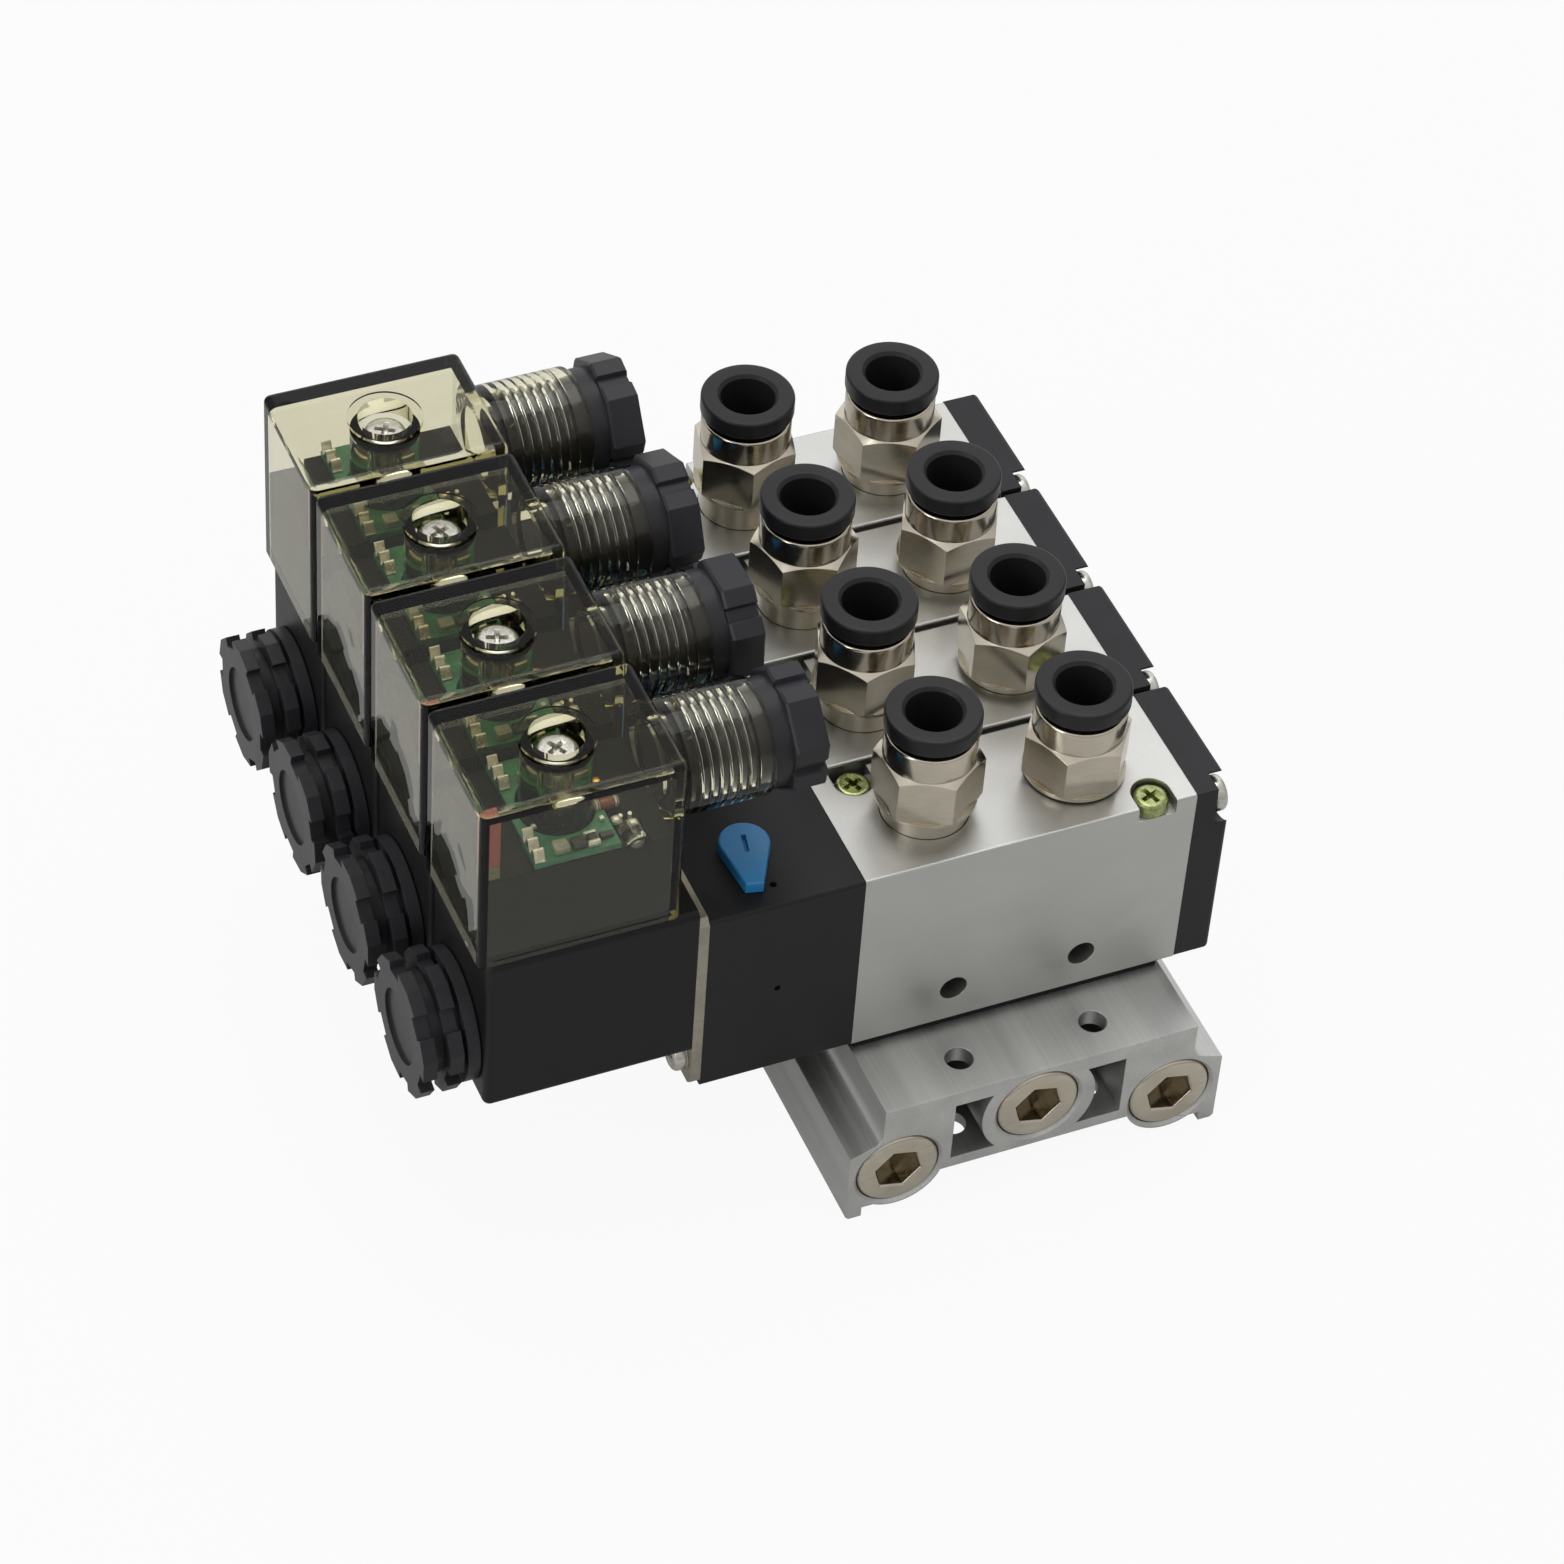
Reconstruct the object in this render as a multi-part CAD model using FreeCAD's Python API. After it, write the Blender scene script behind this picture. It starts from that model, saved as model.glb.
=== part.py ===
import FreeCAD, Part
import math
import os

# Four-station pneumatic valve island: an extruded manifold that carries four single solenoid
# 5/2 spool valves side by side. X runs along each valve, from the coil (-X) to the end cap (+X).
# Y runs along the row of valves and Z is up. The pieces are drawn round the manifold's middle,
# and saved with the origin under the middle of the whole island, on the plane that its two feet
# stand on. Sizes are in millimetres.

# Island
stations = 4
valve_pitch = 23.0
valve_width = 22.0

# Clearances
running_gap = 0.05
thread_gap = 0.08
drop_in_gap = 0.2

# Manifold extrusion
manifold_width = 60.0
manifold_height = 21.6
manifold_end_margin = 24.0
platform_width = 50.0
outer_wall_height = 13.2
shoulder_height = 15.1
shoulder_fillet = 2.0
foot_width = 2.5
foot_corner = 0.5
foot_web_height = 1.8
web_underside = 5.5
web_thickness = 1.9
top_web = 2.8
channel_radius = 5.6
port_thread_radius = 6.58
port_depth = 12.0
port_mouth_chamfer = 0.5
exhaust_spread = 44.0
exhaust_wall = 0.72
exhaust_ground_gap = 0.8
supply_cover = 1.32
supply_wall = 2.5
window_wall = 1.0
mounting_hole_radius = 2.15
mounting_spacing_x = 21.5
mounting_end_inset = 6.2

# Port plugs
plug_length = 9.0
plug_chamfer = 0.6
plug_hex = 6.5
plug_hex_depth = 5.5
plug_hex_turn = 15.0

# Gasket under each valve
gasket_thickness = 1.2
gasket_side_inset = 0.5
gasket_end_inset = 0.6

# Valve body
body_length = 52.0
body_height = 34.0
body_edge = 0.4
bore_height = 17.0
spool_bore_radius = 5.5
port_middle = 0.5
fitting_spread = 23.6
base_port_spread = 38.0
base_port_radius = 1.6
outlet_slot_spread = 20.0
outlet_slot_length = 9.0
outlet_slot_width = 1.8
outlet_port_depth = 9.0
cross_hole_radius = 2.15
cross_hole_spread = 20.5
cross_hole_height = 6.4

# Screws that hold each valve to the manifold
valve_screw_inset = 6.2
valve_screw_side = 8.3
valve_screw_radius = 1.5
valve_screw_hole_gap = 0.2
valve_screw_depth = 6.0
screw_slot_radius = 3.0
screw_slot_depth = 2.5
pan_head_radius = 2.7
pan_head_height = 2.0
cross_recess_width = 0.7
cross_recess_length = 3.0
cross_recess_depth = 1.0
head_round_share = 0.4
head_slope = 1.5
mounting_screw_turns = (20.0, 55.0, 90.0, 125.0)

# Spool
spool_stroke = 3.2
spool_stem_radius = 3.0
land_width = 1.2
land_lap = 0.1
spool_tail_length = 1.2
spool_tail_radius = 2.4

# Straight steps in one turn of a spring
spring_steps = 10

# Return spring of the spool
spring_pocket_depth = 3.5
spring_pocket_radius = 4.6
spool_spring_radius = 3.6
spool_spring_wire = 0.7
spool_spring_turns = 3.5

# End cap
cap_length = 5.9
cap_edge = 0.9
cap_bottom_rise = 0.4
cap_screw_side = 7.4
cap_screw_low = 4.6
cap_screw_high = 29.4
cap_screw_seat = 3.4
cap_screw_thread = 4.0
cap_pocket_radius = 4.3
cap_pocket_past_screw = 1.4
cap_head_radius = 2.75
spring_washer_radius = 2.5
spring_washer_thickness = 0.7
cap_screw_turns = (0.0, 25.0, 50.0, 75.0)

# Pilot housing
pilot_length = 23.8
pilot_edge = 0.6
piston_bore_radius = 8.0
piston_length = 3.2
piston_rest_gap = 0.4
piston_rod_radius = 2.0
pilot_passage_radius = 0.75
seat_land = 3.7
chamber_radius = 4.2
tube_flange_radius = 7.5
tube_flange_thickness = 1.5
bleed_hole_radius = 0.5
bleed_hole_depth = 3.0
bleed_from_body = 12.6
bleed_side_height = 16.7
bleed_top_side = 6.9

# Manual override lever
lever_from_body = 14.0
lever_side = 0.6
lever_thickness = 1.9
lever_head_radius = 3.7
lever_reach = 8.4
lever_tip_width = 2.6
lever_swing_left = 12.0
lever_slot_length = 3.4
lever_slot_width = 0.7
lever_slot_depth = 0.8
lever_slot_back = 1.2
lever_edge = 0.3
lever_stem_radius = 2.0
lever_stem_length = 9.0
lever_groove_depth = 0.5
lever_groove_width = 1.2

# Retaining plate and its screws
plate_thickness = 1.6
plate_rise = 0.5
plate_corner = 1.0
plate_screw_side = 7.4
plate_screw_height = 4.4
plate_screw_radius = 1.5
plate_screw_thread = 4.0
plate_head_radius = 2.6
plate_head_height = 2.0

# Armature tube and armature
tube_radius = 4.9
tube_bore_radius = 4.0
armature_length = 19.4
armature_stroke = 1.2
armature_nose_radius = 1.6
armature_nose_length = 1.2
armature_pocket_radius = 2.4
armature_pocket_depth = 5.0
armature_spring_radius = 2.05
armature_spring_wire = 0.45
armature_spring_turns = 4.0

# Coil
coil_length = 31.6
coil_drop = 9.2
coil_rise = 19.5
coil_edge = 1.2
coil_bore_gap = 0.1
blade_spacing = 11.0
blade_width = 5.0
blade_thickness = 0.8
blade_length = 9.0

# Nut that clamps the coil
nut_gap = 0.2
nut_flange_radius = 9.9
nut_flange_length = 2.6
nut_ring_length = 2.1
nut_groove_length = 1.9
nut_slit = 0.7
nut_core_radius = 7.6
nut_ring_flats = 20.3
nut_faces = 12
nut_notch_width = 3.4
nut_notch_root = 8.7
nut_dish_radius = 5.7
nut_dish_depth = 0.5
nut_thread_depth = 6.0
nut_turns = (1.7, 57.7, 24.0, 43.0)

# Cable connector shell
connector_length = 30.0
connector_height = 30.0
connector_overhang = 1.3
connector_wall = 1.5
connector_edge = 1.1
connector_roof = 3.0
connector_gasket = 0.4
gland_height_below_top = 9.2
gland_radius = 8.6
gland_bore_radius = 7.0
gland_groove_pitch = 1.41
gland_groove_depth = 0.67
gland_groove_flat = 0.12
gland_grooves = 7
gland_grooves_to_end = 2.0
gland_throat_radius = 5.2
gland_length = 14.5
gland_end_round = 0.8
screw_boss_radius = 5.1
screw_ring_radius = 5.5
screw_boss_bore = 4.0
screw_boss_rise = 0.5
boss_from_left = 14.9

# Screw of the connector
connector_screw_radius = 1.5
connector_head_radius = 3.1
connector_head_height = 2.2
connector_head_sink = 2.0
connector_screw_grip = 4.0
connector_screw_turns = (30.0, 70.0, 110.0, 150.0)

# Gland nut and its rubber seal
gland_spigot_length = 8.0
gland_collar_radius = 7.9
gland_collar_length = 4.6
gland_ring_length = 5.2
gland_ring_flats = 17.4
gland_faces = 8
gland_notch_width = 1.8
gland_notch_root = 7.9
gland_cable_radius = 4.2
gland_seal_length = 4.5
gland_seal_bore = 3.6
gland_nut_turns = (46.7, 43.0, 66.0, 12.0)

# Contents of the connector
block_height = 15.9
block_arch_radius = 7.2
block_arch_rise = 6.0
block_arch_length = 1.6
board_thickness = 1.0
board_length = 12.6
board_left_inset = 8.3
board_hole_gap = 0.4
chip_height = 1.1
chip_to_edge = 0.5
contact_strip_width = 1.4
contact_strip_length = 5.5
contact_strip_height = 1.6
red_strip_length = 1.7
red_strip_width = 1.4
light_radius = 1.6
light_length = 3.8
light_from_left = 23.5
light_drop = 0.5

# Chips along the front edge of the board: offset from its left end, length and depth
chip_sizes = ((2.4, 2.0, 2.4), (5.0, 1.6, 2.0), (7.2, 2.2, 2.4))

# Push-in fittings for 8 mm tube
fitting_hex = 14.0
fitting_base_radius = 7.5
fitting_base_height = 0.8
fitting_hex_top = 8.6
fitting_barrel_radius = 6.8
fitting_barrel_top = 12.9
fitting_thread_length = 8.2
fitting_flow_radius = 3.0
tube_socket_radius = 4.1
tube_socket_bottom = 3.0
collet_sleeve_bottom = 8.2
collet_sleeve_wall = 1.3
collet_flange_radius = 7.05
collet_flange_bottom = 14.0
collet_top = 16.8
collet_stroke = 0.9
collet_edge = 0.4
collet_mouth_chamfer = 0.5
hex_chamfer = 1.0
hex_chamfer_angle = 30.0
hex_top_chamfer = 1.8
hex_corner_gap = 0.01

# How far each tapered thread stops above the body, station by station, for outlets A and B
fitting_stand_off = ((2.8, 0.3), (3.7, 1.2), (4.2, 1.9), (4.6, 2.5))
fitting_turn = ((4.0, 24.0), (38.0, 52.0), (14.0, 33.0), (47.0, 8.0))

# Heights of the stack
body_bottom = manifold_height + gasket_thickness
body_top = body_bottom + body_height
axis_height = body_bottom + bore_height
coil_bottom = axis_height - coil_drop
coil_top = axis_height + coil_rise
connector_bottom = coil_top + connector_gasket
connector_top = connector_bottom + connector_height
gland_axis_height = connector_top - gland_height_below_top
block_top = connector_bottom + block_height

# Places along the valve
body_left = -platform_width / 2.0
body_right = body_left + body_length
body_middle = body_left + body_length / 2.0
valve_screw_spread = body_length - 2.0 * valve_screw_inset
cap_outer = body_right + cap_length
pilot_left = body_left - pilot_length
plate_left = pilot_left - plate_thickness
coil_left = plate_left - coil_length
connector_left = coil_left - connector_overhang
connector_right = connector_left + connector_length
gland_end = connector_right + gland_length
gland_seal_left = gland_end - gland_spigot_length - gland_seal_length
boss_x = connector_left + boss_from_left
light_x = connector_left + light_from_left
lever_x = body_left - lever_from_body
half_width = valve_width / 2.0
connector_ceiling = connector_top - connector_roof

# Ends of the whole island, and the shift that brings its middle to the origin
nut_right = coil_left - nut_gap
nut_left = nut_right - nut_flange_length - 2.0 * nut_ring_length - nut_groove_length
cap_screw_end = body_right + cap_screw_seat + spring_washer_thickness + pan_head_height
origin_shift = -(nut_left + max(cap_outer, cap_screw_end)) / 2.0

# Places across the manifold
exhaust_x = exhaust_spread / 2.0
exhaust_tube_radius = port_thread_radius + exhaust_wall
exhaust_z = exhaust_ground_gap + exhaust_tube_radius
supply_z = manifold_height - supply_cover - port_thread_radius
supply_tube_radius = port_thread_radius + supply_wall
window_outer_x = exhaust_x - exhaust_tube_radius - window_wall
window_bottom = web_underside + web_thickness
window_top = manifold_height - top_web
manifold_length = (stations - 1) * valve_pitch + 2.0 * manifold_end_margin
manifold_end = manifold_length / 2.0
mounting_y = manifold_end - mounting_end_inset

# Pilot stage, worked out from the body's left face towards the coil
piston_right = body_left - spool_stroke - drop_in_gap
piston_left = piston_right - piston_length
cylinder_end = piston_left - piston_rest_gap
flange_right = pilot_left + tube_flange_thickness
seat_x = flange_right + seat_land
armature_front = seat_x - running_gap
armature_back = armature_front - armature_length
core_front = armature_back - armature_stroke - drop_in_gap

# Spool lands, worked out from the ports that they open and close
first_land = port_middle - base_port_spread / 2.0 - base_port_radius - land_lap - spool_stroke - land_width
second_land = port_middle - outlet_slot_spread / 2.0 - outlet_slot_width / 2.0 - land_lap - land_width
third_land = port_middle + outlet_slot_spread / 2.0 - outlet_slot_width / 2.0 - land_lap - land_width
fourth_land = port_middle + base_port_spread / 2.0 + base_port_radius + land_lap
land_starts = (first_land, second_land, third_land, fourth_land)
spool_right = fourth_land + land_width

x_axis = FreeCAD.Vector(1, 0, 0)
y_axis = FreeCAD.Vector(0, 1, 0)
z_axis = FreeCAD.Vector(0, 0, 1)


def at(x, y, z):
    """A point."""
    return FreeCAD.Vector(x, y, z)


def block(x0, x1, y0, y1, z0, z1):
    """A box between two corners."""
    return Part.makeBox(x1 - x0, y1 - y0, z1 - z0, at(x0, y0, z0))


def rod_x(radius, x0, x1, y, z):
    """A cylinder along X."""
    return Part.makeCylinder(radius, x1 - x0, at(x0, y, z), x_axis)


def rod_y(radius, y0, y1, x, z):
    """A cylinder along Y."""
    return Part.makeCylinder(radius, y1 - y0, at(x, y0, z), y_axis)


def rod_z(radius, z0, z1, x, y):
    """A cylinder along Z."""
    return Part.makeCylinder(radius, z1 - z0, at(x, y, z0), z_axis)


def turned(profile, centre, axis):
    """A turned piece: (distance along the axis, radius) points swept once round the axis."""
    side = z_axis if axis == x_axis else x_axis
    points = [centre + axis * along + side * radius for along, radius in profile]
    face = Part.Face(Part.makePolygon(points + [points[0]]))
    return face.revolve(centre, axis, 360.0)


def prism_sides(count, across_flats, x0, x1, y, z, turn):
    """A regular prism along X with flat sides."""
    corner = across_flats / 2.0 / math.cos(math.pi / count)
    points = []
    for i in range(count + 1):
        angle = math.radians(turn) + 2.0 * math.pi * (i + 0.5) / count
        points.append(at(x0, y + corner * math.cos(angle), z + corner * math.sin(angle)))
    return Part.Face(Part.makePolygon(points)).extrude(x_axis * (x1 - x0))


def hex_prism_z(across_flats, z0, z1, x, y, turn):
    """A hexagonal prism along Z."""
    corner = across_flats / math.sqrt(3.0)
    points = []
    for i in range(7):
        angle = math.radians(turn + 60.0 * i)
        points.append(at(x + corner * math.cos(angle), y + corner * math.sin(angle), z0))
    return Part.Face(Part.makePolygon(points)).extrude(z_axis * (z1 - z0))


def edges_along(shape, direction):
    """The straight edges of a shape that run along a direction."""
    found = []
    for edge in shape.Edges:
        if len(edge.Vertexes) == 2:
            run = edge.Vertexes[1].Point - edge.Vertexes[0].Point
            if run.cross(direction).Length < 1e-6 * run.Length:
                found.append(edge)
    return found


def edges_in_plane(shape, direction, level):
    """The edges of a shape that lie in one plane across a direction."""
    found = []
    for edge in shape.Edges:
        if all(abs(v.Point.dot(direction) - level) < 1e-6 for v in edge.Vertexes):
            found.append(edge)
    return found


def notched_ring(x0, x1, y, z, flats, faces, notch_width, notch_root, turn):
    """A ring with flat faces and a notch at every second corner."""
    ring = prism_sides(faces, flats, x0, x1, y, z, turn)
    for i in range(0, faces, 2):
        angle = turn + 360.0 * (i + 0.5) / faces
        notch = block(x0, x1, notch_root, flats, -notch_width / 2.0, notch_width / 2.0)
        notch.rotate(at(0, 0, 0), x_axis, angle)
        notch.translate(at(0, y, z))
        ring = ring.cut(notch)
    return ring


def cross_recess(top, x, y):
    """The cross that a driver fits, cut down into a screw head."""
    half = cross_recess_length / 2.0
    thin = cross_recess_width / 2.0
    floor = top - cross_recess_depth
    one = block(x - half, x + half, y - thin, y + thin, floor, top)
    other = block(x - thin, x + thin, y - half, y + half, floor, top)
    return one.fuse(other)


def pan_screw(shank_radius, shank_length, head_radius, head_height):
    """A pan-head screw, head up, with the underside of its head at the origin."""
    head_round = head_height * head_round_share
    profile = [
        (-shank_length, 0.0),
        (-shank_length, shank_radius),
        (0.0, shank_radius),
        (0.0, head_radius),
        (head_height - head_round, head_radius),
        (head_height, head_radius - head_slope * head_round),
        (head_height, 0.0),
    ]
    screw = turned(profile, at(0, 0, 0), z_axis)
    return screw.cut(cross_recess(head_height, 0.0, 0.0))


def spring(radius, wire, turns, x0, x1, y, z):
    """A compression spring along X between two faces: a six-sided wire lofted round a helix."""
    length = x1 - x0 - wire
    middle = radius - wire / 2.0
    steps = int(round(spring_steps * turns))
    sections = []
    for i in range(steps + 1):
        share = i / steps
        angle = 2.0 * math.pi * turns * share
        outwards = at(0, math.cos(angle), math.sin(angle))
        centre = at(x0 + wire / 2.0 + length * share, y, z) + outwards * middle
        points = []
        for j in range(7):
            corner = 2.0 * math.pi * (j % 6) / 6
            across = outwards * (wire / 2.0 * math.cos(corner))
            points.append(centre + across + x_axis * (wire / 2.0 * math.sin(corner)))
        sections.append(Part.makePolygon(points))
    return Part.makeLoft(sections, True, True)


def station_y(k):
    """The centre plane of a station."""
    return (k - (stations - 1) / 2.0) * valve_pitch


def every_station(make):
    """One piece for each station."""
    return [make(k) for k in range(stations)]


def manifold_profile():
    """The extrusion's section: webs, feet and three tubes, with two windows between the tubes."""
    half = manifold_width / 2.0
    step = platform_width / 2.0
    inner = half - foot_width
    right = [
        (0.0, web_underside),
        (exhaust_x, web_underside),
        (exhaust_x, foot_web_height),
        (inner, foot_web_height),
        (inner, 0.0),
        (half - foot_corner, 0.0),
        (half, foot_corner),
        (half, outer_wall_height),
        (step, shoulder_height),
        (step, manifold_height),
    ]
    left = [(-x, z) for x, z in reversed(right[1:])]
    points = [at(x, 0, z) for x, z in right + left]
    outline = Part.Face(Part.makePolygon(points + [points[0]]))
    for side in (-1, 1):
        outline = outline.fuse(disc(exhaust_tube_radius, side * exhaust_x, exhaust_z))
    outline = outline.removeSplitter()
    for side in (-1, 1):
        window = Part.Face(
            Part.makePolygon(
                [
                    at(0, 0, window_bottom),
                    at(side * window_outer_x, 0, window_bottom),
                    at(side * window_outer_x, 0, window_top),
                    at(0, 0, window_top),
                    at(0, 0, window_bottom),
                ]
            )
        )
        outline = outline.cut(window.cut(disc(supply_tube_radius, 0.0, supply_z)))
    for x, z in channel_places():
        outline = outline.cut(disc(channel_radius, x, z))
    return outline.Faces[0]


def disc(radius, x, z):
    """A round face across Y."""
    return Part.Face(Part.Wire(Part.makeCircle(radius, at(x, 0, z), y_axis)))


def channel_places():
    """Centres of the exhaust, supply and exhaust channels."""
    return ((-exhaust_x, exhaust_z), (0.0, supply_z), (exhaust_x, exhaust_z))


def screw_places():
    """The two screws of a valve: across one diagonal of its body, as (x, side)."""
    return (
        (body_middle - valve_screw_spread / 2.0, valve_screw_side),
        (body_middle + valve_screw_spread / 2.0, -valve_screw_side),
    )


def base_ports():
    """The three ports in the underside of a valve."""
    return (port_middle - base_port_spread / 2.0, port_middle, port_middle + base_port_spread / 2.0)


def outlets():
    """The two outlets on top of a valve: fitting and slot into the spool bore."""
    return (
        (port_middle - fitting_spread / 2.0, port_middle - outlet_slot_spread / 2.0),
        (port_middle + fitting_spread / 2.0, port_middle + outlet_slot_spread / 2.0),
    )


def port_mouth(x, z, y, inwards):
    """The tapped mouth of a channel, with its lead-in chamfer."""
    depth = inwards * port_depth
    chamfer = inwards * port_mouth_chamfer
    profile = [
        (0.0, 0.0),
        (0.0, port_thread_radius + port_mouth_chamfer),
        (chamfer, port_thread_radius),
        (depth, port_thread_radius),
        (depth, 0.0),
    ]
    return turned(profile, at(x, y, z), y_axis)


def manifold():
    """The extruded bar with its channels, mounting holes, valve ports and tapped holes."""
    bar = manifold_profile().extrude(y_axis * manifold_length)
    bar.translate(at(0, -manifold_end, 0))
    steps = []
    for edge in edges_along(bar, y_axis):
        point = edge.Vertexes[0].Point
        if abs(abs(point.x) - platform_width / 2.0) < 1e-6 and abs(point.z - shoulder_height) < 1e-6:
            steps.append(edge)
    bar = bar.makeFillet(shoulder_fillet, steps)
    cuts = []
    for x, z in channel_places():
        cuts.append(port_mouth(x, z, -manifold_end, 1))
        cuts.append(port_mouth(x, z, manifold_end, -1))
    for side in (-1, 1):
        for y in (-mounting_y, mounting_y):
            x = side * mounting_spacing_x / 2.0
            cuts.append(rod_z(mounting_hole_radius, 0.0, manifold_height, x, y))
    for k in range(stations):
        y = station_y(k)
        for x, depth_z in zip(base_ports(), (exhaust_z, supply_z, exhaust_z)):
            cuts.append(rod_z(base_port_radius, depth_z, manifold_height, x, y))
        for x, side in screw_places():
            floor = manifold_height - valve_screw_depth - drop_in_gap
            cuts.append(rod_z(valve_screw_radius + thread_gap, floor, manifold_height, x, y + side))
    return bar.cut(cuts)


def manifold_plugs():
    """Three hexagon-socket plugs that close the front ends of the channels."""
    plugs = []
    front = -manifold_end
    radius = port_thread_radius - thread_gap
    for x, z in channel_places():
        profile = [
            (0.0, 0.0),
            (0.0, radius - plug_chamfer),
            (plug_chamfer, radius),
            (plug_length, radius),
            (plug_length, 0.0),
        ]
        plug = turned(profile, at(x, front, z), y_axis)
        socket = prism_sides(6, plug_hex, 0.0, plug_hex_depth, 0.0, 0.0, plug_hex_turn)
        socket.rotate(at(0, 0, 0), z_axis, 90.0)
        socket.translate(at(x, front, z))
        plugs.append(plug.cut(socket))
    return plugs


def base_gasket(k):
    """Flat rubber gasket between a valve and the manifold."""
    y = station_y(k)
    half = half_width - gasket_side_inset
    left = body_left + gasket_end_inset
    right = platform_width / 2.0 - gasket_end_inset
    sheet = block(left, right, y - half, y + half, manifold_height, body_bottom)
    for x in base_ports():
        sheet = sheet.cut(rod_z(base_port_radius, manifold_height, body_bottom, x, y))
    for x, side in screw_places():
        radius = valve_screw_radius + valve_screw_hole_gap
        sheet = sheet.cut(rod_z(radius, manifold_height, body_bottom, x, y + side))
    return sheet


def screw_slot(x, side, y):
    """The recess for a mounting screw's head, open through the near side of the body."""
    floor = body_top - screw_slot_depth
    pocket = rod_z(screw_slot_radius, floor, body_top, x, y + side)
    outwards = math.copysign(half_width, side)
    y0, y1 = sorted((y + side, y + outwards))
    return pocket.fuse(block(x - screw_slot_radius, x + screw_slot_radius, y0, y1, floor, body_top))


def valve_body(k):
    """Aluminium body: spool bore, outlets, base ports, cross holes and screw recesses."""
    y = station_y(k)
    body = block(body_left, body_right, y - half_width, y + half_width, body_bottom, body_top)
    body = body.makeFillet(body_edge, edges_along(body, x_axis))
    cuts = [rod_x(spool_bore_radius, body_left, body_right, y, axis_height)]
    for fitting_x, slot_x in outlets():
        floor = body_top - outlet_port_depth
        cuts.append(rod_z(port_thread_radius, floor, body_top, fitting_x, y))
        thin = outlet_slot_width / 2.0
        half = outlet_slot_length / 2.0
        cuts.append(block(slot_x - thin, slot_x + thin, y - half, y + half, axis_height, floor))
    for x in base_ports():
        cuts.append(rod_z(base_port_radius, body_bottom, axis_height, x, y))
    for side in (-1, 1):
        x = body_middle + side * cross_hole_spread / 2.0
        z = body_bottom + cross_hole_height
        cuts.append(rod_y(cross_hole_radius, y - half_width, y + half_width, x, z))
    for x, side in screw_places():
        radius = valve_screw_radius + valve_screw_hole_gap
        cuts.append(rod_z(radius, body_bottom, body_top, x, y + side))
        cuts.append(screw_slot(x, side, y))
    for side, height in cap_screw_places():
        depth = body_right - cap_screw_thread - drop_in_gap
        cuts.append(rod_x(valve_screw_radius + thread_gap, depth, body_right, y + side, height))
    for side in (-plate_screw_side, plate_screw_side):
        depth = body_left + plate_screw_thread + drop_in_gap
        height = body_bottom + plate_screw_height
        cuts.append(rod_x(plate_screw_radius + thread_gap, body_left, depth, y + side, height))
    return body.cut(cuts)


def mounting_screws(k):
    """The two pan-head screws that clamp a valve onto the manifold."""
    screws = []
    seat = body_top - screw_slot_depth
    length = seat - manifold_height + valve_screw_depth
    for x, side in screw_places():
        screw = pan_screw(valve_screw_radius, length, pan_head_radius, pan_head_height)
        screw.rotate(at(0, 0, 0), z_axis, mounting_screw_turns[k])
        screw.translate(at(x, station_y(k) + side, seat))
        screws.append(screw)
    return screws


def spool(k):
    """Spool with four sealing lands, a tail for the spring and a foot for the piston rod."""
    y = station_y(k)
    land_radius = spool_bore_radius - running_gap
    profile = [(first_land, 0.0)]
    for start in land_starts:
        profile.append((start, land_radius))
        profile.append((start + land_width, land_radius))
        if start != fourth_land:
            profile.append((start + land_width, spool_stem_radius))
            following = land_starts[land_starts.index(start) + 1]
            profile.append((following, spool_stem_radius))
    profile.append((spool_right, spool_tail_radius))
    profile.append((spool_right + spool_tail_length, spool_tail_radius))
    profile.append((spool_right + spool_tail_length, 0.0))
    return turned(profile, at(0, y, axis_height), x_axis)


def pilot_piston(k):
    """Piston that the pilot air pushes against the end of the spool."""
    y = station_y(k)
    radius = piston_bore_radius - running_gap
    profile = [
        (piston_left, 0.0),
        (piston_left, radius),
        (piston_right, radius),
        (piston_right, piston_rod_radius),
        (first_land, piston_rod_radius),
        (first_land, 0.0),
    ]
    return turned(profile, at(0, y, axis_height), x_axis)


def spool_spring(k):
    """Return spring between the spool and the end cap."""
    end = body_right + spring_pocket_depth
    return spring(
        spool_spring_radius,
        spool_spring_wire,
        spool_spring_turns,
        spool_right,
        end,
        station_y(k),
        axis_height,
    )


def cap_screw_places():
    """The two screws of the end cap, across one diagonal, as (side, height)."""
    return (
        (-cap_screw_side, body_bottom + cap_screw_high),
        (cap_screw_side, body_bottom + cap_screw_low),
    )


def end_cap(k):
    """Moulded end cap with a spring pocket and two corners cut back for its screws."""
    y = station_y(k)
    low = body_bottom + cap_bottom_rise
    cap = block(body_right, cap_outer, y - half_width, y + half_width, low, body_top)
    outer_edges = edges_in_plane(cap, x_axis, cap_outer)
    cap = cap.makeFillet(cap_edge, outer_edges)
    cuts = [rod_x(spring_pocket_radius, body_right, body_right + spring_pocket_depth, y, axis_height)]
    seat = body_right + cap_screw_seat
    for side, height in cap_screw_places():
        cuts.append(rod_x(cap_pocket_radius, seat, cap_outer, y + side, height))
        outwards = math.copysign(half_width, side)
        upwards = body_top if height > axis_height else low
        y0, y1 = sorted((y + side, y + outwards))
        z0, z1 = sorted((height, upwards))
        cuts.append(block(seat, cap_outer, y0, y1, z0 - cap_pocket_past_screw, z1))
        radius = valve_screw_radius + valve_screw_hole_gap
        cuts.append(rod_x(radius, body_right, seat, y + side, height))
    return cap.cut(cuts)


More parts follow.
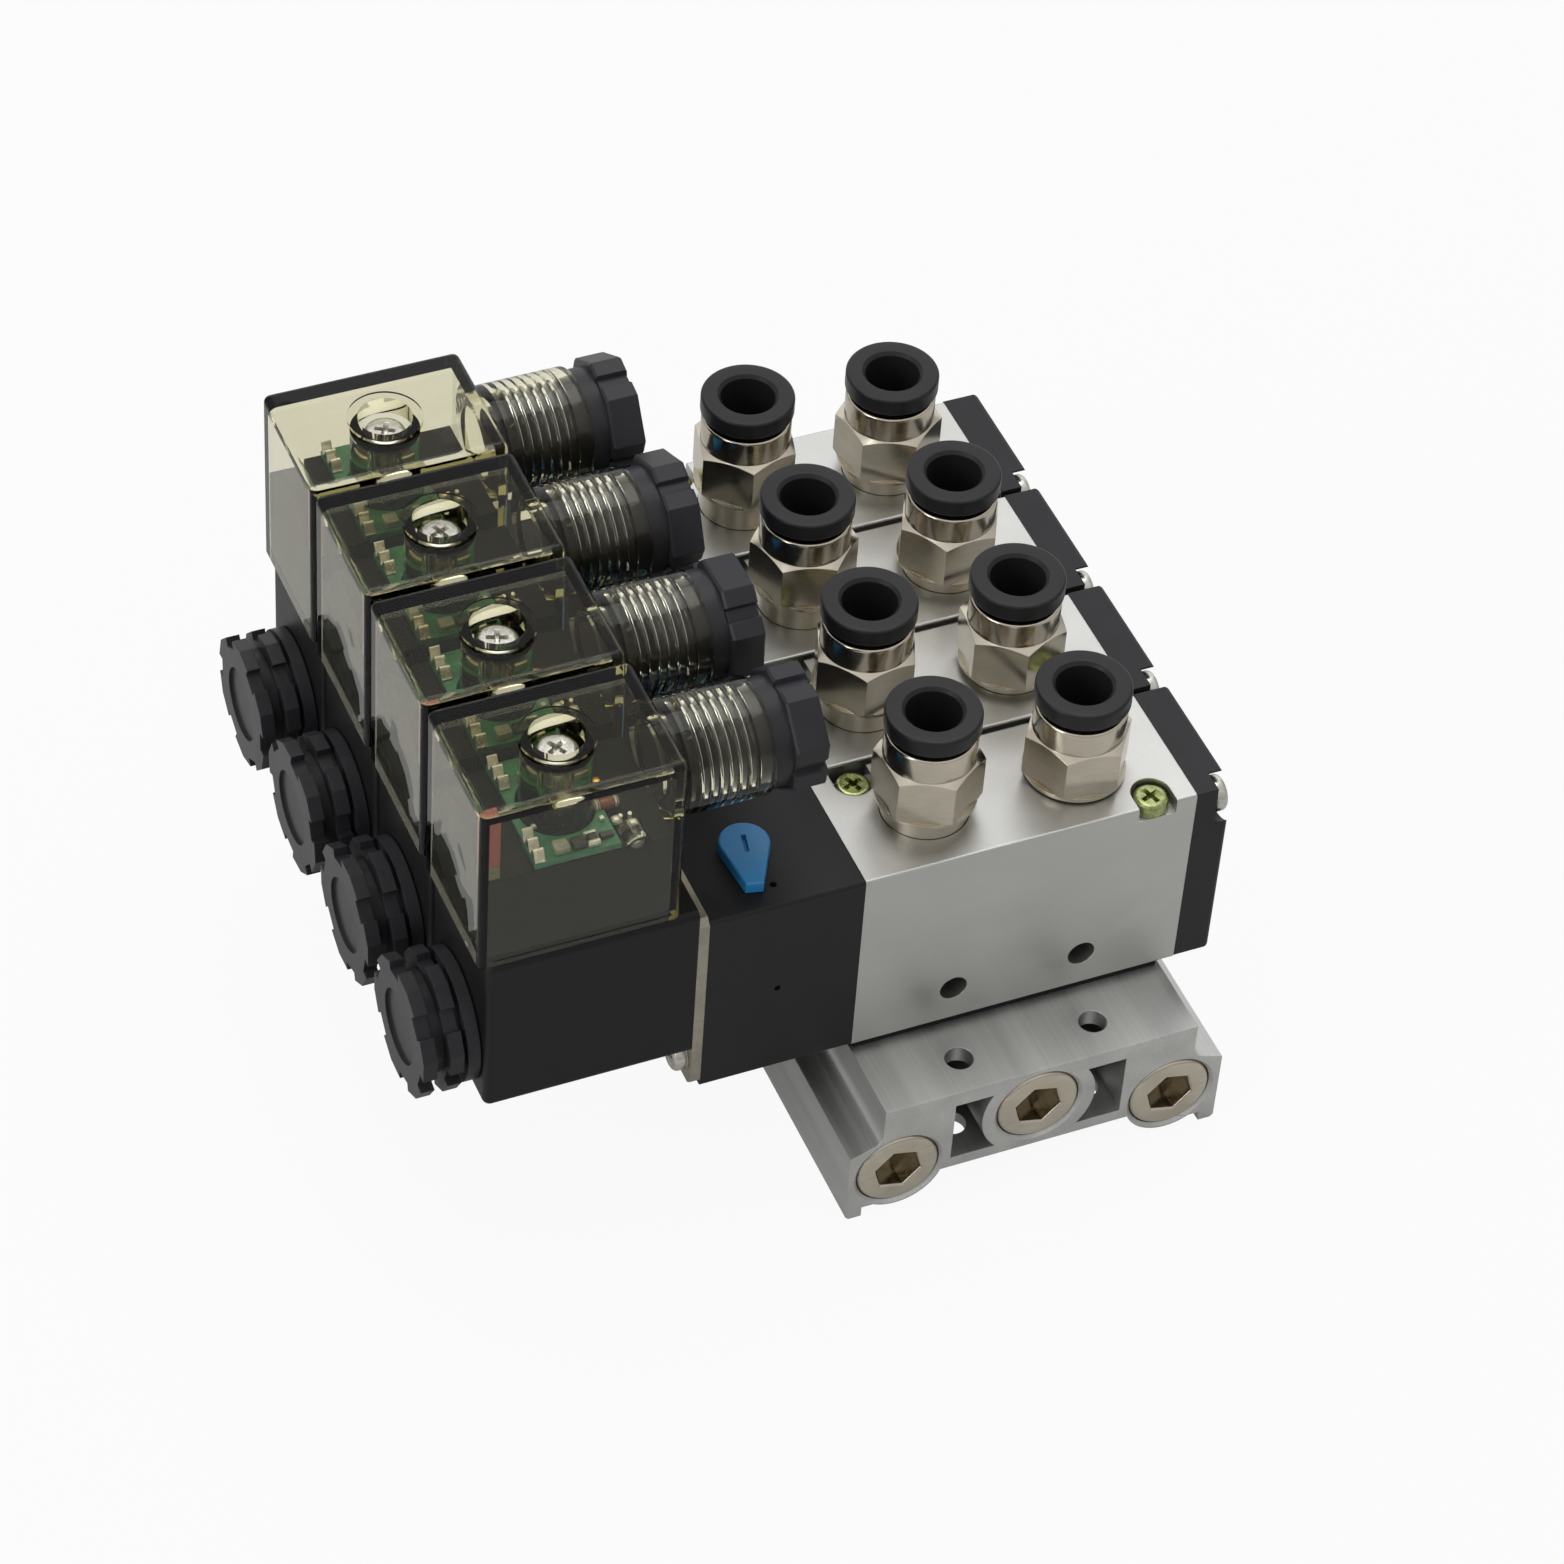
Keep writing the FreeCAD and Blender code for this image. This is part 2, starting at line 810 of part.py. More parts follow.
def end_cap_screws(k):
    """Two pan-head screws, each on a spring washer."""
    screws = []
    seat = body_right + cap_screw_seat
    length = cap_screw_seat + cap_screw_thread
    for side, height in cap_screw_places():
        screw = pan_screw(valve_screw_radius, length, cap_head_radius, pan_head_height)
        washer = rod_z(spring_washer_radius, 0.0, spring_washer_thickness, 0, 0)
        neck = screw.common(rod_z(cap_head_radius, 0.0, pan_head_height, 0, 0))
        neck.translate(at(0, 0, spring_washer_thickness))
        shank = rod_z(valve_screw_radius, -length, 0.0, 0, 0)
        screw = shank.fuse([washer, neck]).removeSplitter()
        screw.rotate(at(0, 0, 0), z_axis, cap_screw_turns[k])
        screw.rotate(at(0, 0, 0), y_axis, 90.0)
        screw.translate(at(seat, station_y(k) + side, height))
        screws.append(screw)
    return screws


def pilot_housing(k):
    """Pilot housing: piston cylinder, pilot passage, armature chamber and lever bore."""
    y = station_y(k)
    housing = block(pilot_left, body_left, y - half_width, y + half_width, body_bottom, body_top)
    housing = housing.makeFillet(pilot_edge, edges_along(housing, x_axis))
    stem_floor = body_top - lever_stem_length - drop_in_gap
    cuts = [
        rod_x(piston_bore_radius, cylinder_end, body_left, y, axis_height),
        rod_x(pilot_passage_radius, seat_x, cylinder_end, y, axis_height),
        rod_x(chamber_radius, flange_right, seat_x, y, axis_height),
        rod_x(tube_flange_radius + thread_gap, pilot_left, flange_right, y, axis_height),
        rod_z(lever_stem_radius + running_gap, stem_floor, body_top, lever_x, y + lever_side),
    ]
    bleed_x = body_left - bleed_from_body
    cuts.append(rod_z(bleed_hole_radius, body_top - bleed_hole_depth, body_top, bleed_x, y - bleed_top_side))
    front = y - half_width
    side_z = body_bottom + bleed_side_height
    cuts.append(rod_y(bleed_hole_radius, front, front + bleed_hole_depth, bleed_x, side_z))
    for side in (-plate_screw_side, plate_screw_side):
        radius = plate_screw_radius + valve_screw_hole_gap
        height = body_bottom + plate_screw_height
        cuts.append(rod_x(radius, pilot_left, body_left, y + side, height))
    return housing.cut(cuts)


def override_lever(k):
    """Teardrop lever on a grooved stem, with a driver slot in its head."""
    bottom = body_top + drop_in_gap
    top = bottom + lever_thickness
    head = rod_z(lever_head_radius, bottom, top, 0, 0)
    half_tip = lever_tip_width / 2.0
    lean = math.asin((lever_head_radius - half_tip) / lever_reach)
    touch_x = lever_head_radius * math.cos(lean)
    touch_y = -lever_head_radius * math.sin(lean)
    points = [
        at(-touch_x, touch_y, bottom),
        at(-half_tip, -lever_reach, bottom),
        at(half_tip, -lever_reach, bottom),
        at(touch_x, touch_y, bottom),
    ]
    pointer = Part.Face(Part.makePolygon(points + [points[0]])).extrude(z_axis * lever_thickness)
    lever = head.fuse(pointer).removeSplitter()
    lever = lever.makeFillet(lever_edge, edges_in_plane(lever, z_axis, top))
    thin = lever_slot_width / 2.0
    front = lever_slot_back - lever_slot_length
    slot = block(-thin, thin, front, lever_slot_back, top - lever_slot_depth, top)
    stem = rod_z(lever_stem_radius, body_top - lever_stem_length, bottom, 0, 0)
    middle = body_top - lever_stem_length / 2.0
    groove_top = middle + lever_groove_width
    groove_floor = lever_stem_radius - lever_groove_depth
    groove = rod_z(lever_stem_radius, middle, groove_top, 0, 0)
    groove = groove.cut(rod_z(groove_floor, middle, groove_top, 0, 0))
    lever = lever.cut(slot).fuse(stem.cut(groove)).removeSplitter()
    lever.rotate(at(0, 0, 0), z_axis, -lever_swing_left)
    lever.translate(at(lever_x, station_y(k) + lever_side, 0))
    return lever


def retaining_plate(k):
    """Steel plate that clamps the flange of the armature tube against the pilot housing."""
    y = station_y(k)
    low = body_bottom + plate_rise
    high = body_top + plate_rise
    plate = block(plate_left, pilot_left, y - half_width, y + half_width, low, high)
    plate = plate.makeChamfer(plate_corner, edges_along(plate, x_axis))
    cuts = [rod_x(tube_radius + coil_bore_gap, plate_left, pilot_left, y, axis_height)]
    for side in (-plate_screw_side, plate_screw_side):
        radius = plate_screw_radius + valve_screw_hole_gap
        height = body_bottom + plate_screw_height
        cuts.append(rod_x(radius, plate_left, pilot_left, y + side, height))
    return plate.cut(cuts)


def plate_screws(k):
    """Two long screws through the plate and the pilot housing into the body."""
    screws = []
    length = plate_thickness + pilot_length + plate_screw_thread
    for side in (-plate_screw_side, plate_screw_side):
        screw = pan_screw(plate_screw_radius, length, plate_head_radius, plate_head_height)
        screw.rotate(at(0, 0, 0), y_axis, -90.0)
        screw.translate(at(plate_left, station_y(k) + side, body_bottom + plate_screw_height))
        screws.append(screw)
    return screws


def armature_tube(k):
    """Guide tube with its flange and the fixed core that closes its far end."""
    y = station_y(k)
    tube_end = coil_left - nut_gap - nut_thread_depth + drop_in_gap
    profile = [
        (tube_end, 0.0),
        (tube_end, tube_radius - running_gap),
        (pilot_left, tube_radius - running_gap),
        (pilot_left, tube_flange_radius),
        (flange_right, tube_flange_radius),
        (flange_right, tube_bore_radius),
        (core_front, tube_bore_radius),
        (core_front, 0.0),
    ]
    return turned(profile, at(0, y, axis_height), x_axis)


def armature(k):
    """Sliding iron armature with a rubber-tipped nose and a pocket for its spring."""
    y = station_y(k)
    radius = tube_bore_radius - running_gap
    nose_root = armature_front - armature_nose_length
    pocket = armature_back + armature_pocket_depth
    profile = [
        (armature_front, 0.0),
        (armature_front, armature_nose_radius),
        (nose_root, armature_nose_radius),
        (nose_root, radius),
        (armature_back, radius),
        (armature_back, armature_pocket_radius),
        (pocket, armature_pocket_radius),
        (pocket, 0.0),
    ]
    return turned(profile, at(0, y, axis_height), x_axis)


def armature_spring(k):
    """Spring that holds the armature's nose on its seat."""
    pocket = armature_back + armature_pocket_depth
    return spring(
        armature_spring_radius,
        armature_spring_wire,
        armature_spring_turns,
        core_front,
        pocket,
        station_y(k),
        axis_height,
    )


def blade_places():
    """The two flat contact blades of a coil."""
    return (boss_x - blade_spacing / 2.0, boss_x + blade_spacing / 2.0)


def coil(k):
    """Moulded coil with its bore, two contact blades and the nut of the connector's screw."""
    y = station_y(k)
    case = block(coil_left, plate_left, y - half_width, y + half_width, coil_bottom, coil_top)
    outer = edges_in_plane(case, x_axis, coil_left)
    case = case.makeFillet(coil_edge, edges_along(case, x_axis) + outer)
    case = case.cut(rod_x(tube_radius, coil_left, plate_left, y, axis_height))
    for x in blade_places():
        thin = blade_thickness / 2.0
        half = blade_width / 2.0
        case = case.fuse(block(x - thin, x + thin, y - half, y + half, coil_top, coil_top + blade_length))
    floor = coil_top - connector_screw_grip
    return case.cut(rod_z(connector_screw_radius + thread_gap, floor, coil_top, boss_x, y))


def coil_nut(k):
    """Closed nut with two notched rings, which clamps the coil onto the tube."""
    y = station_y(k)
    turn = nut_turns[k]
    ring_two = nut_right - nut_flange_length
    groove = ring_two - nut_ring_length
    ring_one = groove - nut_groove_length
    flange = rod_x(nut_flange_radius, ring_two + nut_slit, nut_right, y, axis_height)
    core = rod_x(nut_core_radius, nut_left, nut_right, y, axis_height)
    nut = flange.fuse(core)
    for x0, x1 in ((groove, ring_two), (nut_left, ring_one)):
        ring = notched_ring(
            x0, x1, y, axis_height, nut_ring_flats, nut_faces, nut_notch_width, nut_notch_root, turn
        )
        nut = nut.fuse(ring)
    dish = rod_x(nut_dish_radius, nut_left, nut_left + nut_dish_depth, y, axis_height)
    thread = rod_x(tube_radius, nut_right - nut_thread_depth, nut_right, y, axis_height)
    return nut.removeSplitter().cut([dish, thread])


def connector_gasket_sheet(k):
    """Flat gasket between the coil and the connector."""
    y = station_y(k)
    half = half_width - coil_edge
    left = coil_left + coil_edge
    right = connector_right - connector_edge
    sheet = block(left, right, y - half, y + half, coil_top, connector_bottom)
    for x in blade_places():
        thin = blade_thickness / 2.0 + drop_in_gap
        half = blade_width / 2.0 + drop_in_gap
        sheet = sheet.cut(block(x - thin, x + thin, y - half, y + half, coil_top, connector_bottom))
    radius = connector_screw_radius + valve_screw_hole_gap
    return sheet.cut(rod_z(radius, coil_top, connector_bottom, boss_x, y))


def gland_grooves_cutter(y):
    """The thread grooves inside the gland tube, as rings with sloped flanks and a flat floor."""
    deep = gland_bore_radius + gland_groove_depth
    slope = (gland_groove_pitch - 2.0 * gland_groove_flat) / 2.0
    start = -gland_grooves_to_end - gland_grooves * gland_groove_pitch
    profile = [(start, 0.0)]
    for i in range(gland_grooves):
        left = start + i * gland_groove_pitch
        floor = left + slope
        profile.append((left, gland_bore_radius))
        profile.append((floor, deep))
        profile.append((floor + gland_groove_flat, deep))
        profile.append((floor + gland_groove_flat + slope, gland_bore_radius))
    profile.append((-gland_grooves_to_end, 0.0))
    return turned(profile, at(gland_end, y, gland_axis_height), x_axis)


def connector_shell(k):
    """Clear shell: a thin-walled hood with a screw boss and a gland tube."""
    y = station_y(k)
    hood = block(connector_left, connector_right, y - half_width, y + half_width, connector_bottom,
                 connector_top)
    upright = edges_along(hood, z_axis)
    rim = edges_in_plane(hood, z_axis, connector_top)
    hood = hood.makeFillet(connector_edge, upright + rim)
    wall = connector_wall
    cavity = block(connector_left + wall, connector_right - wall, y - half_width + wall,
                   y + half_width - wall, connector_bottom, connector_ceiling)
    gland = rod_x(gland_radius, connector_right - wall, gland_end, y, gland_axis_height)
    gland = gland.makeFillet(gland_end_round, edges_in_plane(gland, x_axis, gland_end))
    boss_bottom = connector_bottom + block_height
    ring_top = connector_top + screw_boss_rise
    boss = rod_z(screw_boss_radius, boss_bottom, ring_top, boss_x, y)
    ring = rod_z(screw_ring_radius, connector_top, ring_top, boss_x, y)
    shell = hood.cut(cavity).fuse([gland, boss, ring])
    seat = screw_seat_height()
    cuts = [
        rod_x(gland_throat_radius, connector_right - wall, gland_end, y, gland_axis_height),
        rod_x(gland_bore_radius, gland_seal_left, gland_end, y, gland_axis_height),
        gland_grooves_cutter(y),
        rod_z(screw_boss_bore, seat, ring_top, boss_x, y),
        rod_z(connector_screw_radius + valve_screw_hole_gap, boss_bottom, seat, boss_x, y),
    ]
    return shell.cut(cuts).removeSplitter()


def screw_seat_height():
    """The shoulder that the connector's screw head rests on."""
    return connector_top - connector_head_sink - connector_head_height


def connector_screw(k):
    """Long pan-head screw down through the connector into the coil."""
    seat = screw_seat_height()
    length = seat - coil_top + connector_screw_grip - drop_in_gap
    screw = pan_screw(connector_screw_radius, length, connector_head_radius, connector_head_height)
    screw.rotate(at(0, 0, 0), z_axis, connector_screw_turns[k])
    screw.translate(at(boss_x, station_y(k), seat))
    return screw


def terminal_block(k):
    """Dark insert that carries the sockets, with an arched end wall and a notch for the light."""
    y = station_y(k)
    half = half_width - connector_wall - running_gap
    left = connector_left + connector_wall + running_gap
    right = connector_right - connector_wall - running_gap
    body = block(left, right, y - half, y + half, connector_bottom, block_top)
    arch_z = block_top + block_arch_rise - block_arch_radius
    arch = rod_x(block_arch_radius, left, left + block_arch_length, y, arch_z)
    above = block(left, right, y - half, y + half, block_top, connector_top)
    body = body.fuse(arch.common(above))
    cuts = [rod_z(connector_screw_radius + valve_screw_hole_gap, connector_bottom, block_top, boss_x, y)]
    for x in blade_places():
        thin = blade_thickness / 2.0 + drop_in_gap
        wide = blade_width / 2.0 + drop_in_gap
        top = coil_top + blade_length + drop_in_gap
        cuts.append(block(x - thin, x + thin, y - wide, y + wide, connector_bottom, top))
    notch = light_radius + drop_in_gap
    floor = block_top - light_drop - light_radius
    back = y - half + light_length + drop_in_gap
    cuts.append(block(light_x - notch, light_x + notch, y - half, back, floor, block_top))
    return body.cut(cuts).removeSplitter()


def circuit_board(k):
    """Board round the screw boss, with two contact strips and a row of chips, and a red strip."""
    y = station_y(k)
    half = half_width - connector_wall - drop_in_gap
    high = block_top + board_thickness
    left = connector_left + board_left_inset
    right = left + board_length
    front = y - half
    board = block(left, right, front, y + half, block_top, high)
    parts = []
    for offset, length, depth in chip_sizes:
        x = left + offset
        parts.append(block(x, x + length, front + chip_to_edge, front + chip_to_edge + depth, high, high + chip_height))
    for side in (-1, 1):
        y0, y1 = sorted((y + side * half, y + side * (half - contact_strip_length)))
        top = high + contact_strip_height
        parts.append(block(left, left + contact_strip_width, y0, y1, high, top))
    hole = rod_z(screw_boss_radius + board_hole_gap, block_top, high, boss_x, y)
    board = board.fuse(parts).cut(hole).removeSplitter()
    x0 = connector_left + connector_wall + running_gap
    x1 = x0 + red_strip_length
    strip_top = connector_ceiling - running_gap
    strip = block(x0, x1, front, front + red_strip_width, block_top, strip_top)
    return Part.makeCompound([board, strip])


def indicator_light(k):
    """Clear round-nosed light that points at the front wall, in its notch beside the board."""
    y = station_y(k)
    front = y - half_width + connector_wall + drop_in_gap
    z = block_top - light_drop
    barrel = rod_y(light_radius, front + light_radius, front + light_length, light_x, z)
    nose = Part.makeSphere(light_radius, at(light_x, front + light_radius, z))
    return barrel.fuse(nose).removeSplitter()


def gland_nut(k):
    """Gland nut: a spigot inside the gland tube, a collar and a notched ring."""
    y = station_y(k)
    spigot_left = gland_end - gland_spigot_length
    collar_right = gland_end + gland_collar_length
    ring_right = collar_right + gland_ring_length
    radius = gland_bore_radius - thread_gap
    nut = rod_x(radius, spigot_left, gland_end, y, gland_axis_height)
    nut = nut.fuse(rod_x(gland_collar_radius, gland_end, collar_right, y, gland_axis_height))
    ring = notched_ring(
        collar_right,
        ring_right,
        y,
        gland_axis_height,
        gland_ring_flats,
        gland_faces,
        gland_notch_width,
        gland_notch_root,
        gland_nut_turns[k],
    )
    nut = nut.fuse(ring).removeSplitter()
    return nut.cut(rod_x(gland_cable_radius, spigot_left, ring_right, y, gland_axis_height))


def gland_seal(k):
    """Rubber bush that the gland nut squeezes round the cable."""
    y = station_y(k)
    right = gland_end - gland_spigot_length
    bush = rod_x(gland_bore_radius - thread_gap, gland_seal_left, right, y, gland_axis_height)
    return bush.cut(rod_x(gland_seal_bore, gland_seal_left, right, y, gland_axis_height))


def fitting_seat(k, outlet):
    """Place of a fitting: its axis and the height where its hexagon begins."""
    x = outlets()[outlet][0]
    return at(x, station_y(k), body_top + fitting_stand_off[k][outlet])


def port_fitting(k, outlet):
    """Nickel-plated fitting: tapered thread, base disc, turned hexagon and barrel."""
    seat = fitting_seat(k, outlet)
    hexagon = hex_prism_z(
        fitting_hex, fitting_base_height, fitting_hex_top, 0, 0, fitting_turn[k][outlet]
    )
    corner = fitting_hex / math.sqrt(3.0)
    slope = hex_chamfer * math.tan(math.radians(hex_chamfer_angle))
    crown = turned(
        [
            (fitting_base_height, 0.0),
            (fitting_base_height, fitting_base_radius),
            (fitting_base_height + slope, corner + hex_corner_gap),
            (fitting_hex_top - slope * hex_top_chamfer, corner + hex_corner_gap),
            (fitting_hex_top, fitting_barrel_radius),
            (fitting_hex_top, 0.0),
        ],
        at(0, 0, 0),
        z_axis,
    )
    thread_end = -fitting_thread_length
    turned_part = turned(
        [
            (thread_end, 0.0),
            (thread_end, port_thread_radius - thread_gap),
            (0.0, port_thread_radius - thread_gap),
            (0.0, fitting_base_radius),
            (fitting_base_height, fitting_base_radius),
            (fitting_base_height, fitting_barrel_radius),
            (fitting_barrel_top, fitting_barrel_radius),
            (fitting_barrel_top, 0.0),
        ],
        at(0, 0, 0),
        z_axis,
    )
    fitting = turned_part.fuse(hexagon.common(crown)).removeSplitter()
    sleeve_seat = collet_sleeve_bottom - collet_stroke - drop_in_gap
    sleeve_hole = tube_socket_radius + collet_sleeve_wall + thread_gap
    cuts = [
        rod_z(fitting_flow_radius, thread_end, tube_socket_bottom, 0, 0),
        rod_z(tube_socket_radius, tube_socket_bottom, sleeve_seat, 0, 0),
        rod_z(sleeve_hole, sleeve_seat, fitting_barrel_top, 0, 0),
    ]
    fitting = fitting.cut(cuts)
    fitting.translate(seat)
    return fitting


def release_collet(k, outlet):
    """Push-to-release collet: a flange on a sleeve that slides in the fitting."""
    sleeve = tube_socket_radius + collet_sleeve_wall
    profile = [
        (collet_sleeve_bottom, tube_socket_radius),
        (collet_sleeve_bottom, sleeve),
        (collet_flange_bottom, sleeve),
        (collet_flange_bottom, collet_flange_radius),
        (collet_top - collet_edge, collet_flange_radius),
        (collet_top, collet_flange_radius - collet_edge),
        (collet_top, tube_socket_radius + collet_mouth_chamfer),
        (collet_top - collet_mouth_chamfer, tube_socket_radius),
    ]
    return turned(profile, fitting_seat(k, outlet), z_axis)


def save(name, shapes):
    """Write one node as one closed solid or a group of closed solids."""
    solids = []
    for shape in shapes:
        solids.extend(shape.Solids)
    assert solids, name
    for solid in solids:
        assert solid.isValid() and solid.Volume > 0.0, name
    whole = solids[0] if len(solids) == 1 else Part.makeCompound(solids)
    whole.translate(at(origin_shift, 0.0, 0.0))
    whole.exportStep("parts/" + name + ".step")


def flat(groups):
    """One list from a list of lists."""
    return [piece for group in groups for piece in group]


def save_single_pieces():
    """The pieces that each station has in a node of its own."""
    makers = {
        "valve_body": valve_body,
        "pilot_housing": pilot_housing,
        "coil": coil,
        "connector_shell": connector_shell,
        "spool": spool,
        "pilot_piston": pilot_piston,
        "armature": armature,
        "override_lever": override_lever,
    }
    for name, make in makers.items():
        for k in range(stations):
            save(name + "_" + str(k + 1), [make(k)])
    for k in range(stations):
        for outlet, letter in enumerate("ab"):
            save("release_collet_" + str(k + 1) + letter, [release_collet(k, outlet)])


def save_groups():
    """The like pieces of all stations that share a node."""
    groups = {
        "base_gaskets": every_station(base_gasket),
        "end_caps": every_station(end_cap),
        "retaining_plates": every_station(retaining_plate),
        "coil_nuts": every_station(coil_nut),
        "armature_tubes": every_station(armature_tube),
        "connector_gaskets": every_station(connector_gasket_sheet),
        "connector_screws": every_station(connector_screw),
        "terminal_blocks": every_station(terminal_block),
        "circuit_boards": every_station(circuit_board),
        "indicator_lights": every_station(indicator_light),
        "gland_nuts": every_station(gland_nut),
        "gland_seals": every_station(gland_seal),
        "spool_springs": every_station(spool_spring),
        "armature_springs": every_station(armature_spring),
        "mounting_screws": flat(every_station(mounting_screws)),
        "end_cap_screws": flat(every_station(end_cap_screws)),
        "plate_screws": flat(every_station(plate_screws)),
    }
    for name, shapes in groups.items():
        save(name, shapes)
    fittings = [port_fitting(k, outlet) for k in range(stations) for outlet in range(2)]
    save("port_fittings", fittings)


os.makedirs("parts", exist_ok=True)
save("manifold", [manifold()])
save("manifold_plugs", manifold_plugs())
save_single_pieces()
save_groups()
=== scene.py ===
import math

import bmesh
import bpy
import numpy as np
from bpy.props import FloatProperty, FloatVectorProperty, PointerProperty
from mathutils import Matrix, Vector


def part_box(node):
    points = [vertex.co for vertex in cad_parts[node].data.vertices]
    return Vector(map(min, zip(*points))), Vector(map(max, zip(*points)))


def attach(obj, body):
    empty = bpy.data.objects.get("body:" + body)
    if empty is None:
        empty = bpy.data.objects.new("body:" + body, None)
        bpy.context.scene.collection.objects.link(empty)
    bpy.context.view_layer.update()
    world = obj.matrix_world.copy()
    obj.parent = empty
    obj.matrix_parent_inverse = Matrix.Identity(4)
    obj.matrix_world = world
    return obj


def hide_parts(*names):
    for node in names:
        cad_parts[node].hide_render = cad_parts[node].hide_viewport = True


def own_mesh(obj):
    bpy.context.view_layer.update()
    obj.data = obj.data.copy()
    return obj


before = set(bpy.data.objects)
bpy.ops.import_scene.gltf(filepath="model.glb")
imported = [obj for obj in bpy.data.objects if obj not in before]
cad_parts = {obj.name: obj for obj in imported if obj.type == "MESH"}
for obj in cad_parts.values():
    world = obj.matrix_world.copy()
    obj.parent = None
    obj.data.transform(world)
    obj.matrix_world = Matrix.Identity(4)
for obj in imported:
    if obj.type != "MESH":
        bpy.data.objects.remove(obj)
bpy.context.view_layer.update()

bl_info = {
    "name": "Valve island",
    "version": (1, 0, 0),
    "blender": (4, 5, 0),
    "location": "View3D > Sidebar > Valve island",
    "description": "Finishes and small turned pieces for a four-station pneumatic valve island",
    "category": "Add Mesh",
}

MM = 0.001
STATIONS = (1, 2, 3, 4)
COLLETS = [f"{k}{outlet}" for k in STATIONS for outlet in ("a", "b")]
TURN = 2.0 * math.pi


def linear(code):
    """An sRGB hex colour as linear red, green and blue, with alpha 1."""
    values = np.array([int(code[i : i + 2], 16) for i in (1, 3, 5)]) / 255.0
    low = values / 12.92
    high = ((values + 0.055) / 1.055) ** 2.4
    return (*np.where(values <= 0.04045, low, high).tolist(), 1.0)


def length(about, millimetres):
    """A length that the panel shows, in metres."""
    return FloatProperty(description=about, default=millimetres * MM, unit="LENGTH", subtype="DISTANCE", precision=5)


def number(about, value, unit="NONE"):
    """A plain number that the panel shows."""
    return FloatProperty(description=about, default=value, unit=unit)


def colour(about, code):
    """A colour that the panel shows."""
    return FloatVectorProperty(description=about, default=linear(code), size=4, min=0.0, max=1.0, subtype="COLOR")


def labelled(group):
    """A class decorator that gives each property of a group its name: the key in plain words."""
    for key, held in group.__annotations__.items():
        held.keywords["name"] = key.replace("_", " ").capitalize()
    return group


@labelled
class ScrewSizes(bpy.types.PropertyGroup):
    """Pan-head screws with a cross recess."""

    thread_radius: length("Outer radius of every screw's thread", 1.5)
    head_height: length("From the seat to the crown of the head", 2.0)
    mounting_head: length("Head radius of the screws that clamp a valve", 2.7)
    cap_head: length("Head radius of the end cap's screws", 2.75)
    plate_head: length("Head radius of the retaining plate's screws", 2.6)
    connector_head: length("Head radius of the connector's screw", 3.1)
    connector_height: length("Height of the connector screw's head", 2.2)
    crown: length("How much the head's rim is rounded", 0.8)
    recess_length: length("Across the cross from tip to tip", 3.0)
    recess_width: length("Width of one arm of the cross", 0.75)
    recess_depth: length("Depth of the cross at its middle", 1.2)
    shank: length("Length of the end cap's and the plate's screws under the head", 4.0)
    mounting_shank: length("Length of the mounting screws under the head", 6.0)
    connector_shank: length("Length of the connector's screw under the head", 28.0)
    washer_radius: length("Outer radius of the spring washer", 2.5)
    washer_thickness: length("Thickness of the spring washer", 0.7)


@labelled
class ScrewPlaces(bpy.types.PropertyGroup):
    """Where the screws sit, from the faces of the valve body."""

    mounting_spread: length("Between a valve's two mounting screws along the valve", 39.6)
    mounting_side: length("From the valve's middle to a mounting screw", 8.3)
    mounting_sink: length("From the body's top down to the screw's seat", 2.5)
    cap_side: length("From the valve's middle to an end-cap screw", 7.4)
    cap_low: length("Height of the lower end-cap screw above the body's bottom", 4.6)
    cap_high: length("Height of the upper end-cap screw above the body's bottom", 29.4)
    cap_seat: length("From the body's end face to the seat in the end cap", 3.4)
    plate_side: length("From the valve's middle to a plate screw", 7.4)
    plate_height: length("Height of the plate's screws above the body's bottom", 4.4)
    boss_from_left: length("From the connector's left face to the screw's axis", 14.9)


@labelled
class FittingSizes(bpy.types.PropertyGroup):
    """Push-in fitting and its release collet, measured from the start of the hexagon."""

    flats: length("Width of the hexagon across its flats", 14.0)
    base_radius: length("Radius of the disc under the hexagon", 7.5)
    base_height: length("Thickness of the disc under the hexagon", 0.8)
    hex_top: length("Height of the hexagon's top", 8.6)
    barrel_radius: length("Radius of the round barrel", 6.8)
    barrel_top: length("Height of the barrel's mouth", 12.9)
    barrel_round: length("Rounding of the barrel's rim", 0.5)
    thread_radius: length("Crest radius of the tapered thread", 6.5)
    thread_pitch: length("Pitch of the tapered thread", 1.337)
    thread_depth: length("From crest to root of the thread", 0.8)
    neck_length: length("Plain part of the stem under the hexagon", 4.6)
    thread_length: length("Length of the threaded stem", 8.2)
    bore_radius: length("Radius of the hole for the tube", 4.1)
    bore_floor: length("Height where the tube stops", 3.0)
    flow_radius: length("Radius of the air passage", 3.0)
    sleeve_radius: length("Radius of the hole round the collet's sleeve", 5.48)
    sleeve_floor: length("Height where the collet's sleeve can go no deeper", 7.1)
    collet_radius: length("Radius of the collet's flange", 7.05)
    collet_round: length("Rounding of the collet's flange", 0.45)
    collet_flange: length("Thickness of the collet's flange", 2.8)
    collet_sleeve: length("Outer radius of the collet's sleeve", 5.4)
    collet_length: length("Height of the whole collet", 8.6)
    collet_lead: length("Chamfer where the tube goes in", 0.5)
    collet_height: length("Top of the collet above the start of the hexagon", 16.8)


